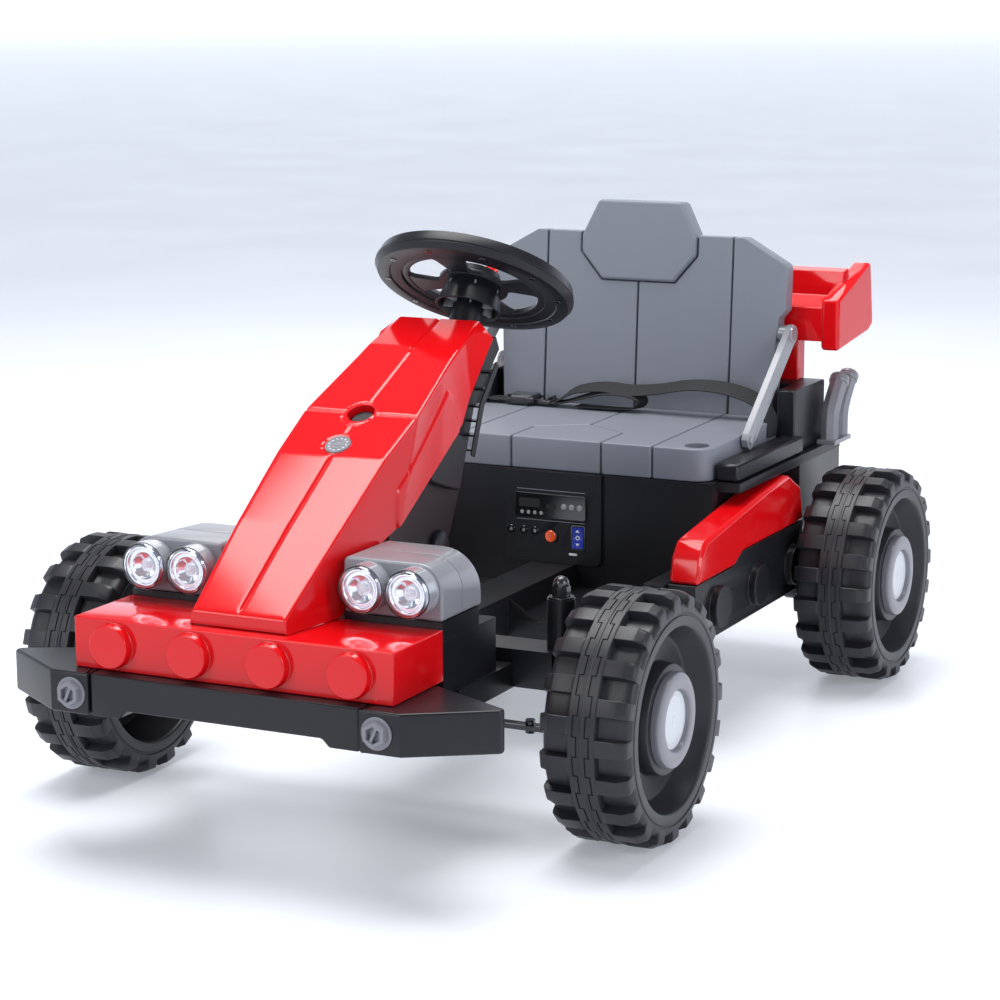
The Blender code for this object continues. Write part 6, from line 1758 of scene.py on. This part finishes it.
@dataclass
class Chassis:
    """The black frame mouldings, red sides, spoiler, pipes and the drive under the seat."""

    satin: tuple[str, ...] = ("floor_pan", "front_frame", "seat_box", "rear_box", "skirt_left", "skirt_right",
                              "column_support")
    hidden: tuple[str, ...] = ("motor_left", "motor_right", "battery", "control_box", "accelerator_pedal")

    def build(self, shop: Workshop) -> None:
        """Makes the mouldings and what stands on them.

        Args:
            shop: where the pieces go.
        """
        for node in self.satin:
            shop.soften(node, BLACK_SATIN, 0.0014, node + "_moulding")
        for node in self.hidden:
            shop.soften(node, BLACK_SATIN, 0.0012, node + "_case")
        shop.soften("rear_axle", STEEL_PLAIN, 0.0006, "axle_steel")
        shop.soften("spoiler", RED_GLOSS, 0.0024, "spoiler_wing")
        for side in Side:
            shop.soften("side_panel_" + side.tag, RED_GLOSS, 0.0012, "side_moulding_" + side.tag)
            shop.soften("exhaust_" + side.tag, SILVER_SATIN, 0.0010, "pipes_" + side.tag)
            shop.add("pipe_caps_" + side.tag, self.pipe_caps(side), SILVER_SATIN,
                     "exhaust_" + side.tag, False, 34)
            shop.add("column_cover_" + side.tag, self.column_cover(side), BLACK_SATIN,
                     "column_support", False, 32)
        shop.add("rear_door", self.rear_door(), BLACK_SATIN, "seat_box", False, 32)
        shop.add("rear_screws", self.rear_screws(), BOLT_DARK, "seat_box")

    def pipe_caps(self, side: Side) -> list[Shell]:
        """A side's two domed caps with a ring groove, on the slanted ends of the pipes.

        Args:
            side: the driver's side.

        Returns:
            The closed shells.
        """
        rise = unit(np.array([0.0, 0.038, 0.041]))
        profile = [(0.0, -0.0060), (0.0121, -0.0060), (0.0127, -0.0050), (0.0127, -0.0024), (0.0121, -0.0016),
                   (0.0121, -0.0004), (0.0127, 0.0004), (0.0127, 0.0020), (0.0120, 0.0040), (0.0100, 0.0058),
                   (0.0070, 0.0068), (0.0, 0.0072)]
        return [turned(profile, (0.2375 * side.value, y + 0.0345, 0.3595), tuple(rise), 40)
                for y in (0.492, 0.528)]

    def column_cover(self, side: Side) -> list[Shell]:
        """A side's plate and round boss on the steering column, and the ribbed strip down its rear edge.

        The ribs lie at even shares of the line through the strip's three middle points.

        Args:
            side: the driver's side.

        Returns:
            The closed shells.
        """
        plate = eased([(-0.1895, 0.3927), (-0.1533, 0.3750), (-0.1752, 0.3231), (-0.2111, 0.3342),
                       (-0.2462, 0.3475)], 0.004)
        strip = eased([(-0.1400, 0.3540), (-0.1160, 0.4085), (-0.0790, 0.4480), (-0.0850, 0.4540),
                       (-0.1250, 0.4130), (-0.1490, 0.3580)], 0.0015)
        shells = [slab(plate, Plane.SIDE, 0.036, 0.0490, 0.0020, 4),
                  slab(strip, Plane.SIDE, 0.0480, 0.0500, 0.0006)]
        for share in np.linspace(0.08, 0.92, 6):
            y = np.interp(share, (0, 0.6, 1), (-0.145, -0.121, -0.083))
            z = np.interp(share, (0, 0.6, 1), (0.356, 0.410, 0.450))
            shells.append(block((0.037, y - 0.006, z - 0.0010), (0.0485, y + 0.006, z + 0.0010),
                                0.0006, 0.0005))
        shells.append(turned([(0, -0.001), (0.0190, -0.001), (0.0190, 0.0040), (0.0176, 0.0072),
                              (0.0146, 0.0092), (0.0100, 0.0102), (0, 0.0104)], (0.037, -0.210, 0.266),
                             LEFTWARD, 48))
        return [shell.on(side) for shell in shells]

    def rear_door(self) -> list[Shell]:
        """The battery door on the rear wall, with its air slots' bars and a grip bar.

        Returns:
            The closed shells.
        """
        door = rectangle((-0.118, 0.128), (0.118, 0.248), 0.008)
        bars = [block((-0.070, 0.5400, z), (0.070, 0.5440, z + 0.0035), 0.0010, 0.0010, Plane.FRONT)
                for z in (0.148, 0.158, 0.168, 0.178, 0.188)]
        grip = block((-0.030, 0.5400, 0.2180), (0.030, 0.5470, 0.2290), 0.0040, 0.0020, Plane.FRONT)
        return [slab(door, Plane.FRONT, 0.5385, 0.5420, 0.0014)] + bars + [grip]

    def rear_screws(self) -> list[Shell]:
        """The door's four round screws, each with a dished socket."""
        head = [(0, -0.001), (0.0042, -0.001), (0.0042, 0.0008), (0.0034, 0.0016), (0.0018, 0.0018),
                (0.0014, 0.0006), (0, 0.0006)]
        return [turned(head, (x, 0.5420, z), BACKWARD, 28) for x in (-0.107, 0.107) for z in (0.139, 0.237)]


# Studio


@dataclass
class Studio:
    """Floor, wall, lights and the camera of the photo."""

    camera_place: tuple[float, float, float] = (1.4197, -2.83885, 0.9084)
    right: tuple[float, float, float] = (0.896822, 0.442360, -0.005186)
    up: tuple[float, float, float] = (-0.081525, 0.176778, 0.980869)
    forward: tuple[float, float, float] = (-0.434814, 0.879242, -0.194602)
    lens: float = 100.65
    sensor_width: float = 36.0
    far: float = 200.0
    world: Colour = (0.86, 0.90, 1.0)
    world_strength: float = 0.30
    sides: int = 64
    floor_radii: tuple[float, float] = (3.0, 60.0)
    wall_radius: float = 28.0
    wall_heights: tuple[float, float] = (-0.5, 9.0)
    aim: tuple[float, float, float] = (0.0, 0.0, 0.3)
    softboxes: tuple[tuple[str, tuple, tuple, float], ...] = (
        ("box_over", (-0.4, 0.3, 3.4), (2.6, 2.0), 130.0),
        ("box_front", (-1.6, -3.4, 2.2), (1.8, 1.8), 44.0),
        ("box_side", (3.4, -1.0, 1.9), (1.4, 1.8), 42.0),
        ("box_back", (-1.2, 2.8, 2.4), (2.2, 1.8), 20.0),
    )

    def surface(self, name: str, rings: np.ndarray, faces: list, finish: Finish,
                shop: Workshop) -> bpy.types.Object:
        """Makes one surface of the room from rings of points.

        Args:
            name: the object's name.
            rings: array of rings, points and coordinates.
            faces: its faces as lists of point numbers.
            finish: its finish.
            shop: for the material.

        Returns:
            The new object.
        """
        mesh = bpy.data.meshes.new(name)
        mesh.from_pydata(rings.reshape(-1, 3).tolist(), [], faces)
        mesh.materials.append(shop.material(finish))
        surface = bpy.data.objects.new(name, mesh)
        bpy.context.scene.collection.objects.link(surface)
        return surface

    def room(self, shop: Workshop) -> None:
        """Makes the round floor, the round wall far behind it and the sky's light.

        Args:
            shop: for the materials.
        """
        angle = np.linspace(0, 2 * pi, self.sides, endpoint=False)
        circle = np.stack([np.cos(angle), np.sin(angle)], -1)
        band = quads(2, self.sides, False, True)
        ground = np.stack([np.column_stack([radius * circle, np.zeros(self.sides)])
                           for radius in self.floor_radii])
        upright = np.stack([np.column_stack([self.wall_radius * circle, np.full(self.sides, z)])
                            for z in self.wall_heights])
        middle = list(range(self.sides))
        floor = self.surface("floor", ground, [middle] + [face[::-1] for face in band], FLOOR_PALE, shop)
        backdrop = self.surface("wall", upright, band, WALL_PALE, shop)
        world = bpy.data.worlds.new("studio")
        world.use_nodes = True
        back = world.node_tree.nodes["Background"]
        back.inputs["Color"].default_value = (*self.world, 1.0)
        back.inputs["Strength"].default_value = self.world_strength
        bpy.context.scene.world = world

    def softbox(self, name: str, place: tuple, size: tuple, power: float) -> None:
        """Adds a rectangular area light that faces the kart.

        Args:
            name: the light's name.
            place: where it stands.
            size: width and height.
            power: watts.
        """
        light = bpy.data.lights.new(name, "AREA")
        light.shape = "RECTANGLE"
        light.size, light.size_y = size
        light.energy = power
        lamp = bpy.data.objects.new(name, light)
        lamp.location = place
        lamp.rotation_euler = (Vector(self.aim) - Vector(place)).to_track_quat("-Z", "Y").to_euler()
        bpy.context.scene.collection.objects.link(lamp)

    def build(self, shop: Workshop) -> None:
        """Makes the room, the softboxes and the camera, whose axes are the photo's.

        Args:
            shop: for the materials.
        """
        scene = bpy.context.scene
        self.room(shop)
        for softbox in self.softboxes:
            self.softbox(*softbox)
        data = bpy.data.cameras.new("camera")
        data.sensor_width = self.sensor_width
        data.lens = self.lens
        data.clip_end = self.far
        camera = bpy.data.objects.new("camera", data)
        turn = Matrix((self.right, self.up, tuple(-c for c in self.forward))).transposed()
        camera.matrix_world = Matrix.Translation(Vector(self.camera_place)) @ turn.to_4x4()
        scene.collection.objects.link(camera)
        scene.camera = camera
        scene.view_settings.view_transform = "Standard"


def main() -> None:
    """Builds each sub-assembly on the frame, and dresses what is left."""
    logging.basicConfig(level=logging.INFO, format="%(message)s")
    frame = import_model()
    shop = Workshop(frame)
    for assembly in (Wheels(), Hood(), Seat(), Nose(), Steering(), Console(), Chassis()):
        log.info("building %s", type(assembly).__name__)
        assembly.build(shop)
    Studio().build(shop)
    log.info("%d pieces", len(shop.made))


if __name__ == "__main__":
    main()
